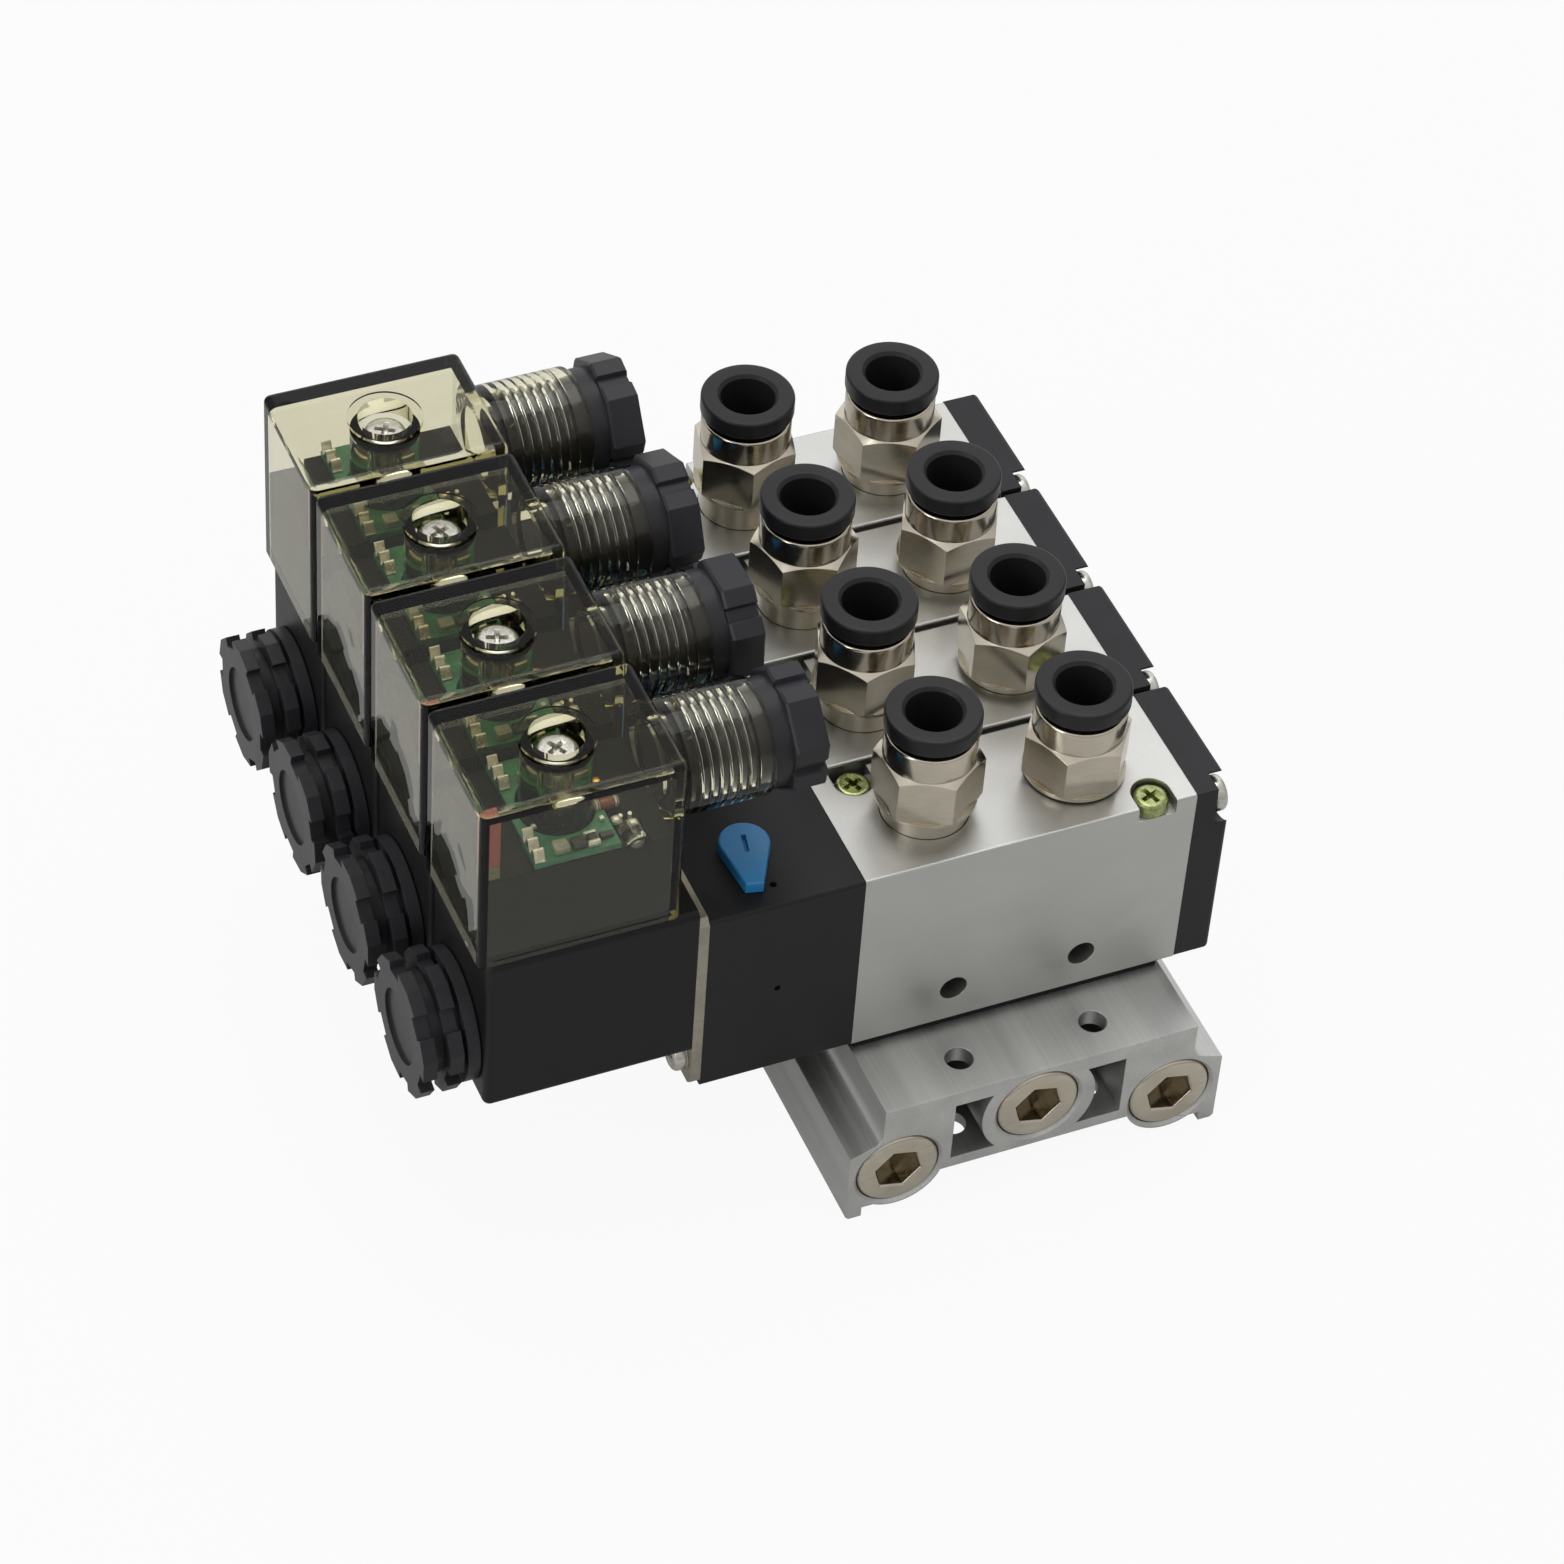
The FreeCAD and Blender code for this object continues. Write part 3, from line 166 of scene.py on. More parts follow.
@labelled
class PlugSizes(bpy.types.PropertyGroup):
    """Hexagon-socket plugs of the manifold's channels."""

    radius: length("Outer radius of the plug", 6.5)
    plug_length: length("Length of the plug", 9.0)
    rim_round: length("Rounding of the plug's outer rim", 0.9)
    socket_flats: length("Hexagon socket across its flats", 6.5)
    socket_depth: length("Depth of the socket", 5.5)
    socket_lead: length("Chamfer at the socket's mouth", 0.25)


@labelled
class ChannelSizes(bpy.types.PropertyGroup):
    """Lower wall of the manifold's right exhaust channel, round the channel's axis."""

    from_side: length("From the manifold's right face to the axis", 8.0)
    height: length("Height of the axis above the manifold's feet", 8.1)
    outer_radius: length("Outside of the wall", 7.3)
    bore_radius: length("Radius of the channel", 5.6)
    thread_radius: length("Radius of the tapped mouths", 6.58)
    thread_depth: length("Depth of the tapped mouths", 12.0)
    mouth: length("Chamfer of the mouths", 0.5)
    web_drop: length("From the axis down to the underside of the web", 2.6)
    foot_drop: length("From the axis down to the web beside the foot", 6.3)
    end_inset: length("From the outside in to the point where an end closes", 0.25)


@labelled
class SpringSizes(bpy.types.PropertyGroup):
    """The springs inside each valve. A travel is a little longer than its joint's."""

    spool_wire: length("Diameter of the wire of a spool's spring", 0.7)
    spool_turns: number("Turns of a spool's spring", 3.5)
    spool_travel: length("How far a spool presses its spring", 3.25)
    armature_wire: length("Diameter of the wire of an armature's spring", 0.45)
    armature_turns: number("Turns of an armature's spring", 4.0)
    armature_travel: length("How far an armature presses its spring", 1.25)


@labelled
class NutSizes(bpy.types.PropertyGroup):
    """Nut of the cable gland, measured from the end of the gland's tube."""

    spigot_radius: length("Radius of the part inside the tube", 6.85)
    spigot_length: length("Length of the part inside the tube", 8.0)
    collar_radius: length("Radius of the plain collar", 7.9)
    collar_length: length("Length of the plain collar", 2.5)
    ring_flats: length("Width of the notched ring across its flats", 17.4)
    ring_length: length("Length of the notched ring", 5.0)
    notch_radius: length("Radius at the bottom of a notch", 7.9)
    bore_radius: length("Radius of the hole for the cable", 4.2)


@labelled
class BoardSizes(bpy.types.PropertyGroup):
    """Circuit board inside a connector, measured from the connector's left face, middle plane and bottom."""

    left: length("Left edge of the board", 8.3)
    right: length("Right edge of the board", 20.9)
    half_width: length("From the middle plane to a long edge", 9.3)
    bottom: length("Underside of the board", 15.9)
    thickness: length("Thickness of the board", 1.0)
    hole_x: length("Axis of the hole for the screw boss", 14.9)
    hole_radius: length("Radius of the hole for the screw boss", 5.5)
    leaf_width: length("Width of a folded contact leaf", 1.5)
    leaf_height: length("Height of a leaf's folds", 1.7)
    leaf_length: length("Length of a leaf along the board's edge", 5.4)
    leaf_thickness: length("Thickness of a leaf", 0.25)
    strip_left: length("Left side of the red strip and of the corner post under it", 1.55)
    strip_width: length("Width of the red strip and of the corner post", 1.7)
    strip_depth: length("Depth of the red strip and of the corner post", 1.35)
    strip_top: length("Top of the red strip", 27.0)
    strip_bottom: length("Where the red strip ends and the corner post begins", 18.4)
    post_bottom: length("Foot of the corner post", 2.0)
    light_x: length("Middle of the indicator light", 23.5)
    light_height: length("Axis of the indicator light", 15.4)


@labelled
class Finishes(bpy.types.PropertyGroup):
    """Colours of the finishes."""

    body: colour("Blasted aluminium of the valve bodies", "#BDBDBA")
    manifold: colour("Brushed aluminium of the manifold", "#C2C2C0")
    nickel: colour("Nickel plate of the fittings", "#C4BCAC")
    zinc: colour("Zinc-plated steel of the retaining plates", "#A39D90")
    yellow_zinc: colour("Yellow-passivated zinc of the screws", "#9CA470")
    bright_zinc: colour("Clear-passivated zinc of the bright screws", "#C4C2BA")
    coil: colour("Moulded casing of the coils", "#161617")
    pilot: colour("Moulded pilot housing", "#1E1E20")
    cap: colour("Moulded end cap", "#222225")
    nut: colour("Moulded nuts of the coil and the cable gland", "#2A2A2D")
    collet: colour("Moulded release collet", "#222224")
    rubber: colour("Gaskets and seals", "#151515")
    lever: colour("Blue lever of the manual override", "#2A7DB6")
    shell: colour("Surface tint of the clear connector shell", "#F7F6F0")
    shell_depth: colour("Colour of the connector shell where it is thick", "#D6D2A8")
    post: colour("Thick corner of the connector shell", "#66653F")
    block: colour("Insert inside the connector", "#141517")
    board: colour("Solder mask of the circuit board", "#2F7357")
    copper: colour("Red strip beside the board", "#9A4A45")
    lamp: colour("Clear resin of the indicator light", "#F2F2EC")
    steel: colour("Plain steel inside the valve", "#8E8F90")
    acetal: colour("Dark moulded piston and spool", "#3A3A3C")
    tin: colour("Tinned contacts, legs and solder", "#D2D0C8")
    resistor: colour("Lacquer of the barrel resistor", "#7C4A3C")
    brass: colour("Brass dome on the board", "#C09A55")
    chip: colour("Moulded chip", "#2B2C2E")
    ceramic: colour("Ceramic chip", "#8C9088")


@labelled
class StageSettings(bpy.types.PropertyGroup):
    """Floor, lamps and camera."""

    floor: colour("Pale floor under the island", "#B4B4B2")
    floor_size: number("Width of the floor", 8.0, unit="LENGTH")
    sky: number("Brightness of the room overhead", 0.86)
    horizon: number("Brightness of the room at eye height", 0.38)
    top_light: number("Power of the soft box overhead", 7.0, unit="POWER")
    back_light: number("Power of the long box behind", 5.5, unit="POWER")
    side_light: number("Power of the side lamp", 4.5, unit="POWER")
    lens: number("Focal length on a 36 mm wide frame, in millimetres", 125.95)


@labelled
class IslandSettings(bpy.types.PropertyGroup):
    """All sizes and colours of the island's looks."""

    screws: PointerProperty(type=ScrewSizes, description="Sizes of the screws")
    places: PointerProperty(type=ScrewPlaces, description="Places of the screws")
    fittings: PointerProperty(type=FittingSizes, description="Sizes of the push-in fittings")
    plugs: PointerProperty(type=PlugSizes, description="Sizes of the channel plugs")
    channel: PointerProperty(type=ChannelSizes, description="Sizes of the exhaust channel's wall")
    springs: PointerProperty(type=SpringSizes, description="Sizes of the springs")
    nuts: PointerProperty(type=NutSizes, description="Sizes of the cable-gland nuts")
    boards: PointerProperty(type=BoardSizes, description="Sizes of the circuit boards")
    finishes: PointerProperty(type=Finishes, description="Colours of the finishes")
    stage: PointerProperty(type=StageSettings, description="Floor, lamps and camera")


def rounded(corners, steps, first=0, last=None):
    """A profile through (radius, height, rounding) corners: each gives way to an arc that touches both of its sides.
    Only the arcs from corner `first` up to `last` are kept."""
    data = np.array(corners, dtype=float)
    point, bend = data[:, :2], data[:, 2:]
    before = np.roll(point, 1, axis=0) - point
    after = np.roll(point, -1, axis=0) - point
    before /= np.linalg.norm(before, axis=1, keepdims=True)
    after /= np.linalg.norm(after, axis=1, keepdims=True)
    half = np.arccos(np.clip((before * after).sum(axis=1, keepdims=True), -1.0, 1.0)) / 2.0
    middle = before + after
    middle /= np.maximum(np.linalg.norm(middle, axis=1, keepdims=True), 1e-9)
    centre = point + middle * bend / np.sin(half)
    start = point + before * bend / np.tan(half) - centre
    end = point + after * bend / np.tan(half) - centre
    sweep = math.pi - 2.0 * half
    share = np.linspace(0.0, 1.0, steps + 1)[None, :, None]
    spread = np.maximum(np.sin(sweep), 1e-9)[:, None, :]
    arc = (
        start[:, None, :] * np.sin((1.0 - share) * sweep[:, None, :])
        + end[:, None, :] * np.sin(share * sweep[:, None, :])
    ) / spread
    return (centre[:, None, :] + arc)[first:last].reshape(-1, 2)


def rings(rows, angles):
    """A grid of points from rows of (radius, height), each a number or one value per angle, turned about Z."""
    radius = np.stack([np.broadcast_to(row[0], angles.shape) for row in rows])
    height = np.stack([np.broadcast_to(row[1], angles.shape) for row in rows])
    return np.stack([radius * np.cos(angles), radius * np.sin(angles), height], axis=-1)


def placed(grid, places):
    """Copies of one grid, each moved by a 4 x 4 matrix: the rotation part times the points, plus the place."""
    moves = np.array([np.array(place) for place in places])
    return np.einsum("cij,mnj->cmni", moves[:, :3, :3], grid) + moves[:, None, None, :3, 3]


def surface(name, grids, material, along=False, around=True, sharp=32.0):
    """A mesh from grids of points, one quad between neighbours; rows wrap round if `around`, and columns if `along`."""
    count, m, n, _ = grids.shape
    i = np.arange(m if along else m - 1)[:, None]
    j = np.arange(n if around else n - 1)[None, :]
    below, next_j = (i + 1) % m, (j + 1) % n
    corners = np.stack([i * n + j, i * n + next_j, below * n + next_j, below * n + j + 0 * i], axis=-1)
    quads = (corners.reshape(1, -1, 4) + (np.arange(count) * m * n)[:, None, None]).reshape(-1, 4)
    mesh = bpy.data.meshes.new(name)
    mesh.vertices.add(count * m * n)
    mesh.vertices.foreach_set("co", grids.astype(np.float32).ravel())
    mesh.loops.add(quads.size)
    mesh.loops.foreach_set("vertex_index", quads.ravel().astype(np.int32))
    mesh.polygons.add(len(quads))
    mesh.polygons.foreach_set("loop_start", np.arange(0, quads.size, 4, dtype=np.int32))
    mesh.update(calc_edges=True)
    return tidy(name, mesh, material, sharp)


def tidy(name, mesh, material, sharp):
    """An object with closed poles and seams, faces outward, and smooth except at edges sharper than `sharp` degrees."""
    solid = bmesh.new()
    solid.from_mesh(mesh)
    bmesh.ops.remove_doubles(solid, verts=solid.verts, dist=1e-6)
    bmesh.ops.dissolve_degenerate(solid, edges=solid.edges, dist=1e-7)
    if solid.calc_volume(signed=True) < 0.0:
        bmesh.ops.reverse_faces(solid, faces=solid.faces)
    solid.to_mesh(mesh)
    solid.free()
    mesh.polygons.foreach_set("use_smooth", np.ones(len(mesh.polygons), dtype=bool))
    mesh.set_sharp_from_angle(angle=math.radians(sharp))
    mesh.materials.append(material)
    piece = bpy.data.objects.new(name, mesh)
    bpy.context.scene.collection.objects.link(piece)
    return piece


def add(tree, kind, sockets=(), **settings):
    """One node with its settings; `sockets` pairs an input with a value or with the output that it is linked to."""
    node = tree.nodes.new(f"ShaderNode{kind}")
    for key, value in settings.items():
        setattr(node, key, value)
    for key, value in dict(sockets).items():
        if isinstance(value, bpy.types.NodeSocket):
            tree.links.new(value, node.inputs[key])
        else:
            node.inputs[key].default_value = value
    return node


def blank(name):
    """A new material and its empty node tree."""
    made = bpy.data.materials.new(name)
    made.use_nodes = True
    made.node_tree.nodes.clear()
    return made, made.node_tree


def per_metre(size):
    """How often a size in millimetres, one for all axes or one for each, goes into a metre."""
    return (1.0 / (np.broadcast_to(size, 3) * MM)).tolist()


def finish(name, base, roughness, metallic=0.0, grain=0.4, relief=0.01, patch=9.0, tone=0.08, gloss=0.05, edge=0.2,
           **shader_values):
    """A finish with grain of a real size in millimetres, along X, Y and Z or the same along all, that lifts the surface
    by `relief` millimetres, patches that are up to `tone` darker or lighter and `gloss` rougher or smoother, and edges
    rounded by `edge` millimetres."""
    made, tree = blank(name)
    where = add(tree, "TexCoord").outputs["Object"]
    fine = add(tree, "Mapping", {"Vector": where, "Scale": per_metre(grain)})
    wide = add(tree, "Mapping", {"Vector": where, "Scale": per_metre(patch)})
    speck = add(tree, "TexNoise", {"Vector": fine.outputs[0], "Scale": 1.0, "Detail": 2.0})
    cloud = add(tree, "TexNoise", {"Vector": wide.outputs[0], "Scale": 1.0, "Detail": 4.0})
    both = add(tree, "Mix", {0: 0.35, 2: cloud.outputs["Fac"], 3: speck.outputs["Fac"]})
    darker = [value * (1.0 - 2.0 * tone) for value in base[:3]] + [1.0]
    lighter = [min(1.0, value * (1.0 + 2.0 * tone)) for value in base[:3]] + [1.0]
    spread = {"Value": both.outputs[0], "From Min": 0.25, "From Max": 0.75}
    share = add(tree, "MapRange", spread)
    tint = add(tree, "Mix", {0: share.outputs[0], 6: darker, 7: lighter}, data_type="RGBA")
    rough = add(tree, "MapRange", {**spread, "To Min": roughness - gloss, "To Max": roughness + gloss})
    soft = add(tree, "Bevel", {"Radius": edge * MM}, samples=4)
    bump = add(tree, "Bump", {
        "Height": speck.outputs["Fac"], "Distance": relief * MM, "Strength": 1.0, "Normal": soft.outputs[0]})
    shader = add(tree, "BsdfPrincipled", {
        "Base Color": tint.outputs[2], "Roughness": rough.outputs[0], "Metallic": metallic, "Normal": bump.outputs[0],
        **shader_values})
    add(tree, "OutputMaterial", {"Surface": shader.outputs[0]})
    return made


def clear(name, base, roughness, ior, density, depth_colour):
    """A clear moulding that bends light as the real one does, lets lamplight through to what is inside it, and takes
    on `depth_colour` where it is thick: `density` times what that colour lacks is lost on each metre."""
    made, tree = blank(name)
    where = add(tree, "TexCoord").outputs["Object"]
    flow = add(tree, "TexNoise", {"Vector": where, "Scale": 1.0 / (5.0 * MM), "Detail": 0.0})
    bump = add(tree, "Bump", {"Height": flow.outputs["Fac"], "Distance": 0.02 * MM, "Strength": 1.0})
    glass = add(tree, "BsdfPrincipled", {
        "Base Color": base, "Roughness": roughness, "IOR": ior, "Transmission Weight": 1.0,
        "Normal": bump.outputs[0]})
    window = add(tree, "BsdfTransparent", {"Color": base})
    path = add(tree, "LightPath")
    through = add(tree, "Math", {0: path.outputs["Is Shadow Ray"], 1: path.outputs["Is Diffuse Ray"]},
                  operation="MAXIMUM")
    mixed = add(tree, "MixShader", {0: through.outputs[0], 1: glass.outputs[0], 2: window.outputs[0]})
    depth = add(tree, "VolumeAbsorption", {"Color": depth_colour, "Density": density})
    add(tree, "OutputMaterial", {"Surface": mixed.outputs[0], "Volume": depth.outputs[0]})
    return made


def make_finishes(c):
    """Every finish of the island."""
    dull = {"Specular IOR Level": 0.2}
    return [
        # Aluminium bar, blasted and anodised clear: an even fine grain that blurs every reflection
        finish("blasted_aluminium", c.body, 0.4, 1.0, 0.35, 0.010, (14, 9, 9), 0.04),
        # Aluminium extruded along Y and brushed: long die lines and streaks along the extrusion
        finish("extruded_aluminium", c.manifold, 0.45, 1.0, (0.45, 60.0, 0.45), 0.012, (5.0, 70.0, 5.0), 0.10, 0.08),
        # Turned brass under nickel plate: close to a mirror, slightly warm, with faint turning rings
        finish("nickel_plated_brass", c.nickel, 0.17, 1.0, (3.0, 3.0, 0.35), 0.004, 5, 0.08, 0.05, 0.12),
        # Pressed steel sheet, zinc plated: a cloudy grey with soft spangles
        finish("zinc_plated_sheet", c.zinc, 0.45, 1.0, 0.6, 0.01, 4, 0.12, 0.08, 0.15),
        # Steel screws with yellow chromate: the colour shifts between yellow and green over a millimetre or two
        finish("yellow_chromate", c.yellow_zinc, 0.28, 1.0, 0.5, 0.008, 1.3, 0.28, 0.08, 0.1),
        # Steel screws with clear chromate: bright silver with a little haze
        finish("clear_chromate", c.bright_zinc, 0.25, 1.0, 0.5, 0.005, 2, 0.1, 0.05, 0.1),
        # Glass-filled nylon from a spark-eroded mould: dark, finely pebbled, dull highlights
        finish("coil_nylon", c.coil, 0.42, 0.0, 0.5, 0.014, 10, 0.12, 0.06, 0.3, **dull),
        finish("pilot_nylon", c.pilot, 0.45, 0.0, 0.45, 0.012, 8, 0.1, **dull),
        finish("cap_nylon", c.cap, 0.4, 0.0, 0.45, 0.012, 8, 0.1, 0.05, 0.25, **dull),
        finish("nut_nylon", c.nut, 0.38, 0.0, 0.45, 0.008, 8, 0.08, 0.05, 0.2, **dull),
        finish("block_nylon", c.block, 0.7, 0.0, 0.8, 0.001, 6, 0.06, 0.04, 0.1, **dull),
        # Polished acetal: smooth, with a soft waxy highlight on the rounded rim
        finish("collet_acetal", c.collet, 0.33, 0.0, 0.5, 0.004, 5, 0.06, 0.04, 0.1, **dull),
        # Nitrile rubber: dull and almost black
        finish("nitrile_rubber", c.rubber, 0.7, 0.0, 0.5, 0.01, 5, 0.1, **dull),
        # Blue acetal moulding: even colour with a soft highlight
        finish("blue_acetal", c.lever, 0.36, 0.0, 0.5, 0.006, 6, 0.05, 0.05, 0.08),
        # Solder mask over copper: glossy green that darkens and lightens where tracks run under it
        finish("solder_mask", c.board, 0.35, 0.0, 0.7, 0.02, 1.8, 0.3),
        finish("copper_strip", c.copper, 0.4, 0.0, 0.8, 0.01, 3, 0.1),
        # Plain turned steel and dark acetal inside the valve
        finish("plain_steel", c.steel, 0.35, 1.0, 0.5, 0.004, 5, 0.06),
        finish("dark_acetal", c.acetal, 0.4, 0.0, 0.5, 0.004, 5, 0.06),
        # Tinned phosphor bronze and solder: silver with small uneven patches
        finish("tin_plate", c.tin, 0.25, 0.5, 0.6, 0.01, 1.5, 0.1, 0.08, 0.1),
        # Lacquered, moulded and glazed small parts of the board
        finish("lacquer", c.resistor, 0.3, 0.0, 0.6, 0.005, 2, 0.1, 0.05, 0.1),
        finish("polished_brass", c.brass, 0.25, 1.0, 0.6, 0.005, 2, 0.1, 0.05, 0.1),
        finish("chip_epoxy", c.chip, 0.4, 0.0, 0.6, 0.005, 2, 0.1, 0.05, 0.1),
        finish("glazed_ceramic", c.ceramic, 0.35, 0.0, 0.6, 0.005, 1.2, 0.15, 0.05, 0.1),
        # Clear moulded polycarbonate: almost colourless across a wall, olive along it and in the thick ring and gland
        clear("clear_polycarbonate", c.shell, 0.0, 1.29, 150.0, c.shell_depth),
        # Clear cast epoxy of the light
        clear("clear_epoxy", c.lamp, 0.02, 1.54, 20.0, c.shell_depth),
        # The moulding's thick corner post, which looks like a strip of olive plastic
        finish("olive_polycarbonate_post", c.post, 0.3, 0.0, 1, 0.004, 4, 0.06),
    ]


FINISHED_NODES = {
    "extruded_aluminium": "manifold",
    "blasted_aluminium": "valve_body",
    "nitrile_rubber": "base_gaskets connector_gaskets gland_seals",
    "cap_nylon": "end_caps",
    "pilot_nylon": "pilot_housing",
    "coil_nylon": "coil",
    "nut_nylon": "coil_nuts gland_nuts",
    "zinc_plated_sheet": "retaining_plates",
    "clear_polycarbonate": "connector_shell",
    "block_nylon": "terminal_blocks",
    "solder_mask": "circuit_boards",
    "clear_epoxy": "indicator_lights",
    "plain_steel": "armature_tubes armature armature_springs spool_springs",
    "dark_acetal": "spool pilot_piston",
    "blue_acetal": "override_lever",
    "collet_acetal": "release_collet",
    "nickel_plated_brass": "manifold_plugs port_fittings",
    "yellow_chromate": "mounting_screws",
    "clear_chromate": "end_cap_screws plate_screws connector_screws",
}
NODE_FINISH = {node: name for name, nodes in FINISHED_NODES.items() for node in nodes.split()}


def kind_of(node):
    """The name of a CAD node without its station."""
    return node if node in NODE_FINISH else node.rsplit("_", 1)[0]


def move(place, axis="Z", turn=0.0):
    """A matrix that turns a piece about its own axis, points that axis along Z, X, -X or -Y, and puts it in place."""
    lean = {
        "Z": Matrix.Identity(4),
        "X": Matrix.Rotation(math.pi / 2.0, 4, "Y"),
        "-X": Matrix.Rotation(-math.pi / 2.0, 4, "Y"),
        "-Y": Matrix.Rotation(math.pi / 2.0, 4, "X"),
    }[axis]
    return Matrix.Translation(place) @ lean @ Matrix.Rotation(turn, 4, "Z")


def cross_outline(angles, half_length, half_width):
    """Distance from the middle to the edge of a cross: along each arm the end or the side, whichever is nearer."""
    along, across = np.maximum(np.abs(np.cos(angles)), 1e-9), np.maximum(np.abs(np.sin(angles)), 1e-9)
    one = np.minimum(half_length / along, half_width / across)
    other = np.minimum(half_length / across, half_width / along)
    return np.maximum(one, other)


def polygon_outline(angles, flats, sides=6):
    """Distance from the middle to the edge of a regular polygon: half its width over the cosine of the angle from the
    nearest flat."""
    part = TURN / sides
    return flats / 2.0 / np.cos((angles + part / 2.0) % part - part / 2.0)


def screw_grid(s, head_radius, head_height, shank):
    """A screw about Z with its seat at height 0: rings along the shank, over the domed head and down the recess."""
    tip = math.atan2(s.recess_width, s.recess_length)
    arm = np.array([-tip, -tip / 2.0, 0.0, tip / 2.0, tip])
    flank = np.linspace(tip, math.pi / 2.0 - tip, 9)[1:-1]
    angles = (np.concatenate([arm, flank])[None, :] + (np.arange(4) * math.pi / 2.0)[:, None]).ravel()
    outline = cross_outline(angles, s.recess_length / 2.0, s.recess_width / 2.0)
    corners = [(head_radius, 0.0, 0.12 * MM), (head_radius, head_height, s.crown), (0.0, head_height, 0.0)]
    # Without the first two points, which lie inside the head
    side = rounded(corners, 8, 0, 2)[2:]
    dome = np.linspace(0.0, 1.0, 4)[1:-1]
    shoulder = side[-1][0]
    lip, throat, floor, lip_depth = outline * 1.06, outline * 0.98, outline * 0.62, 0.08 * MM
    rows = [(0.0, -shank), (s.thread_radius, -shank), (s.thread_radius, 0.0), (head_radius, 0.0)]
    rows += [point for point in side if point[1] > 0.0]
    rows += [(shoulder + (lip - shoulder) * share, head_height) for share in dome]
    rows += [
        (lip, head_height), (throat, head_height - lip_depth), (floor, head_height - s.recess_depth),
        (0.0, head_height - s.recess_depth * 1.1),
    ]
    return rings(rows, angles)


def washer_grid(s):
    """A split spring washer about Z: a flat ring over most of a turn that climbs by a fifth of its thickness."""
    share = np.linspace(0.0, 1.0, 56)
    gap = math.radians(8.0)
    angles = gap / 2.0 + share * (TURN - gap)
    low = s.washer_thickness * 0.2 * share
    high = low + s.washer_thickness * 0.8
    inner, outer = s.thread_radius + 0.1 * MM, s.washer_radius
    rows = [(inner, low), (outer, low), (outer, high), (inner, high)]
    ring = rings(rows, angles)
    ends = [np.broadcast_to(ring[:, side].mean(axis=0), (4, 3))[:, None, :] for side in (0, -1)]
    return np.concatenate([ends[0], ring, ends[1]], axis=1)


def plug_grid(p):
    """A channel plug about Z with its face at height 0: a rounded rim, a flat ring, and a hexagon socket."""
    angles = np.arange(96) * TURN / 96
    socket = polygon_outline(angles, p.socket_flats)
    rim = rounded([(p.radius, -p.plug_length, 0.0), (p.radius, 0.0, p.rim_round), (0.0, 0.0, 0.0)], 6, 1, 2)
    rows = [(0.0, -p.plug_length), (p.radius, -p.plug_length)] + list(rim)
    rows += [
        (socket + p.socket_lead, 0.0), (socket, -p.socket_lead), (socket, -p.socket_depth),
        (0.0, -p.socket_depth - 0.8 * MM),
    ]
    return rings(rows, angles)


def fitting_grid(f):
    """A push-in fitting about Z from the start of its hexagon: a thread that follows a helix, a plain neck, a disc, a
    hexagon whose corners are turned to a cone at both ends, and a barrel with its bore."""
    count = 144
    angles = np.arange(count) * TURN / count
    hexagon = polygon_outline(angles, f.flats)
    slope = math.tan(math.radians(30.0))
    low = f.base_height + np.maximum(hexagon - f.base_radius, 0.0) * slope
    high = f.hex_top - np.maximum(hexagon - f.barrel_radius, 0.0) * slope
    foot = np.minimum(hexagon, f.base_radius)
    heights = np.arange(-f.thread_length + 0.3 * MM, -f.neck_length, f.thread_pitch / 8.0)
    # A triangle wave, steepened and clipped so that crests and roots are flat
    wave = np.abs(((heights[:, None] / f.thread_pitch - angles[None, :] / TURN) % 1.0) * 2.0 - 1.0)
    thread = f.thread_radius - f.thread_depth * np.clip(wave * 1.3 - 0.15, 0.0, 1.0)
    rows = [(f.flow_radius, -f.thread_length), (f.thread_radius - f.thread_depth, -f.thread_length)]
    rows += [(thread[i], heights[i]) for i in range(len(heights))]
    rows += [
        (f.thread_radius - f.thread_depth, -f.neck_length), (f.thread_radius, -f.neck_length), (f.thread_radius, 0.0),
        (f.base_radius - 0.2 * MM, 0.0), (f.base_radius, 0.2 * MM), (f.base_radius, f.base_height),
        (foot, f.base_height), (hexagon, low), (hexagon, high),
        (np.full(count, f.barrel_radius), f.hex_top),
    ]
    rim = rounded([
        (f.barrel_radius, f.hex_top, 0.0), (f.barrel_radius, f.barrel_top, f.barrel_round),
        (f.sleeve_radius, f.barrel_top, 0.2 * MM), (f.sleeve_radius, f.sleeve_floor, 0.0)], 5, 1, 3)
    rows += list(rim)
    rows += [
        (f.sleeve_radius, f.sleeve_floor), (f.bore_radius, f.sleeve_floor), (f.bore_radius, f.bore_floor),
        (f.flow_radius, f.bore_floor),
    ]
    return rings(rows, angles)


def collet_grid(f):
    """A release collet about Z with its top at height 0: a rounded flange on a sleeve, turned once round."""
    angles = np.arange(112) * TURN / 112
    profile = rounded([
        (f.bore_radius, -f.collet_length, 0.0),
        (f.collet_sleeve, -f.collet_length, 0.0),
        (f.collet_sleeve, -f.collet_flange, 0.0),
        (f.collet_radius, -f.collet_flange, 0.25 * MM),
        (f.collet_radius, 0.0, f.collet_round),
        (f.bore_radius + f.collet_lead, 0.0, 0.1 * MM),
        (f.bore_radius, -f.collet_lead, 0.0),
    ], 6)
    return rings(profile, angles)


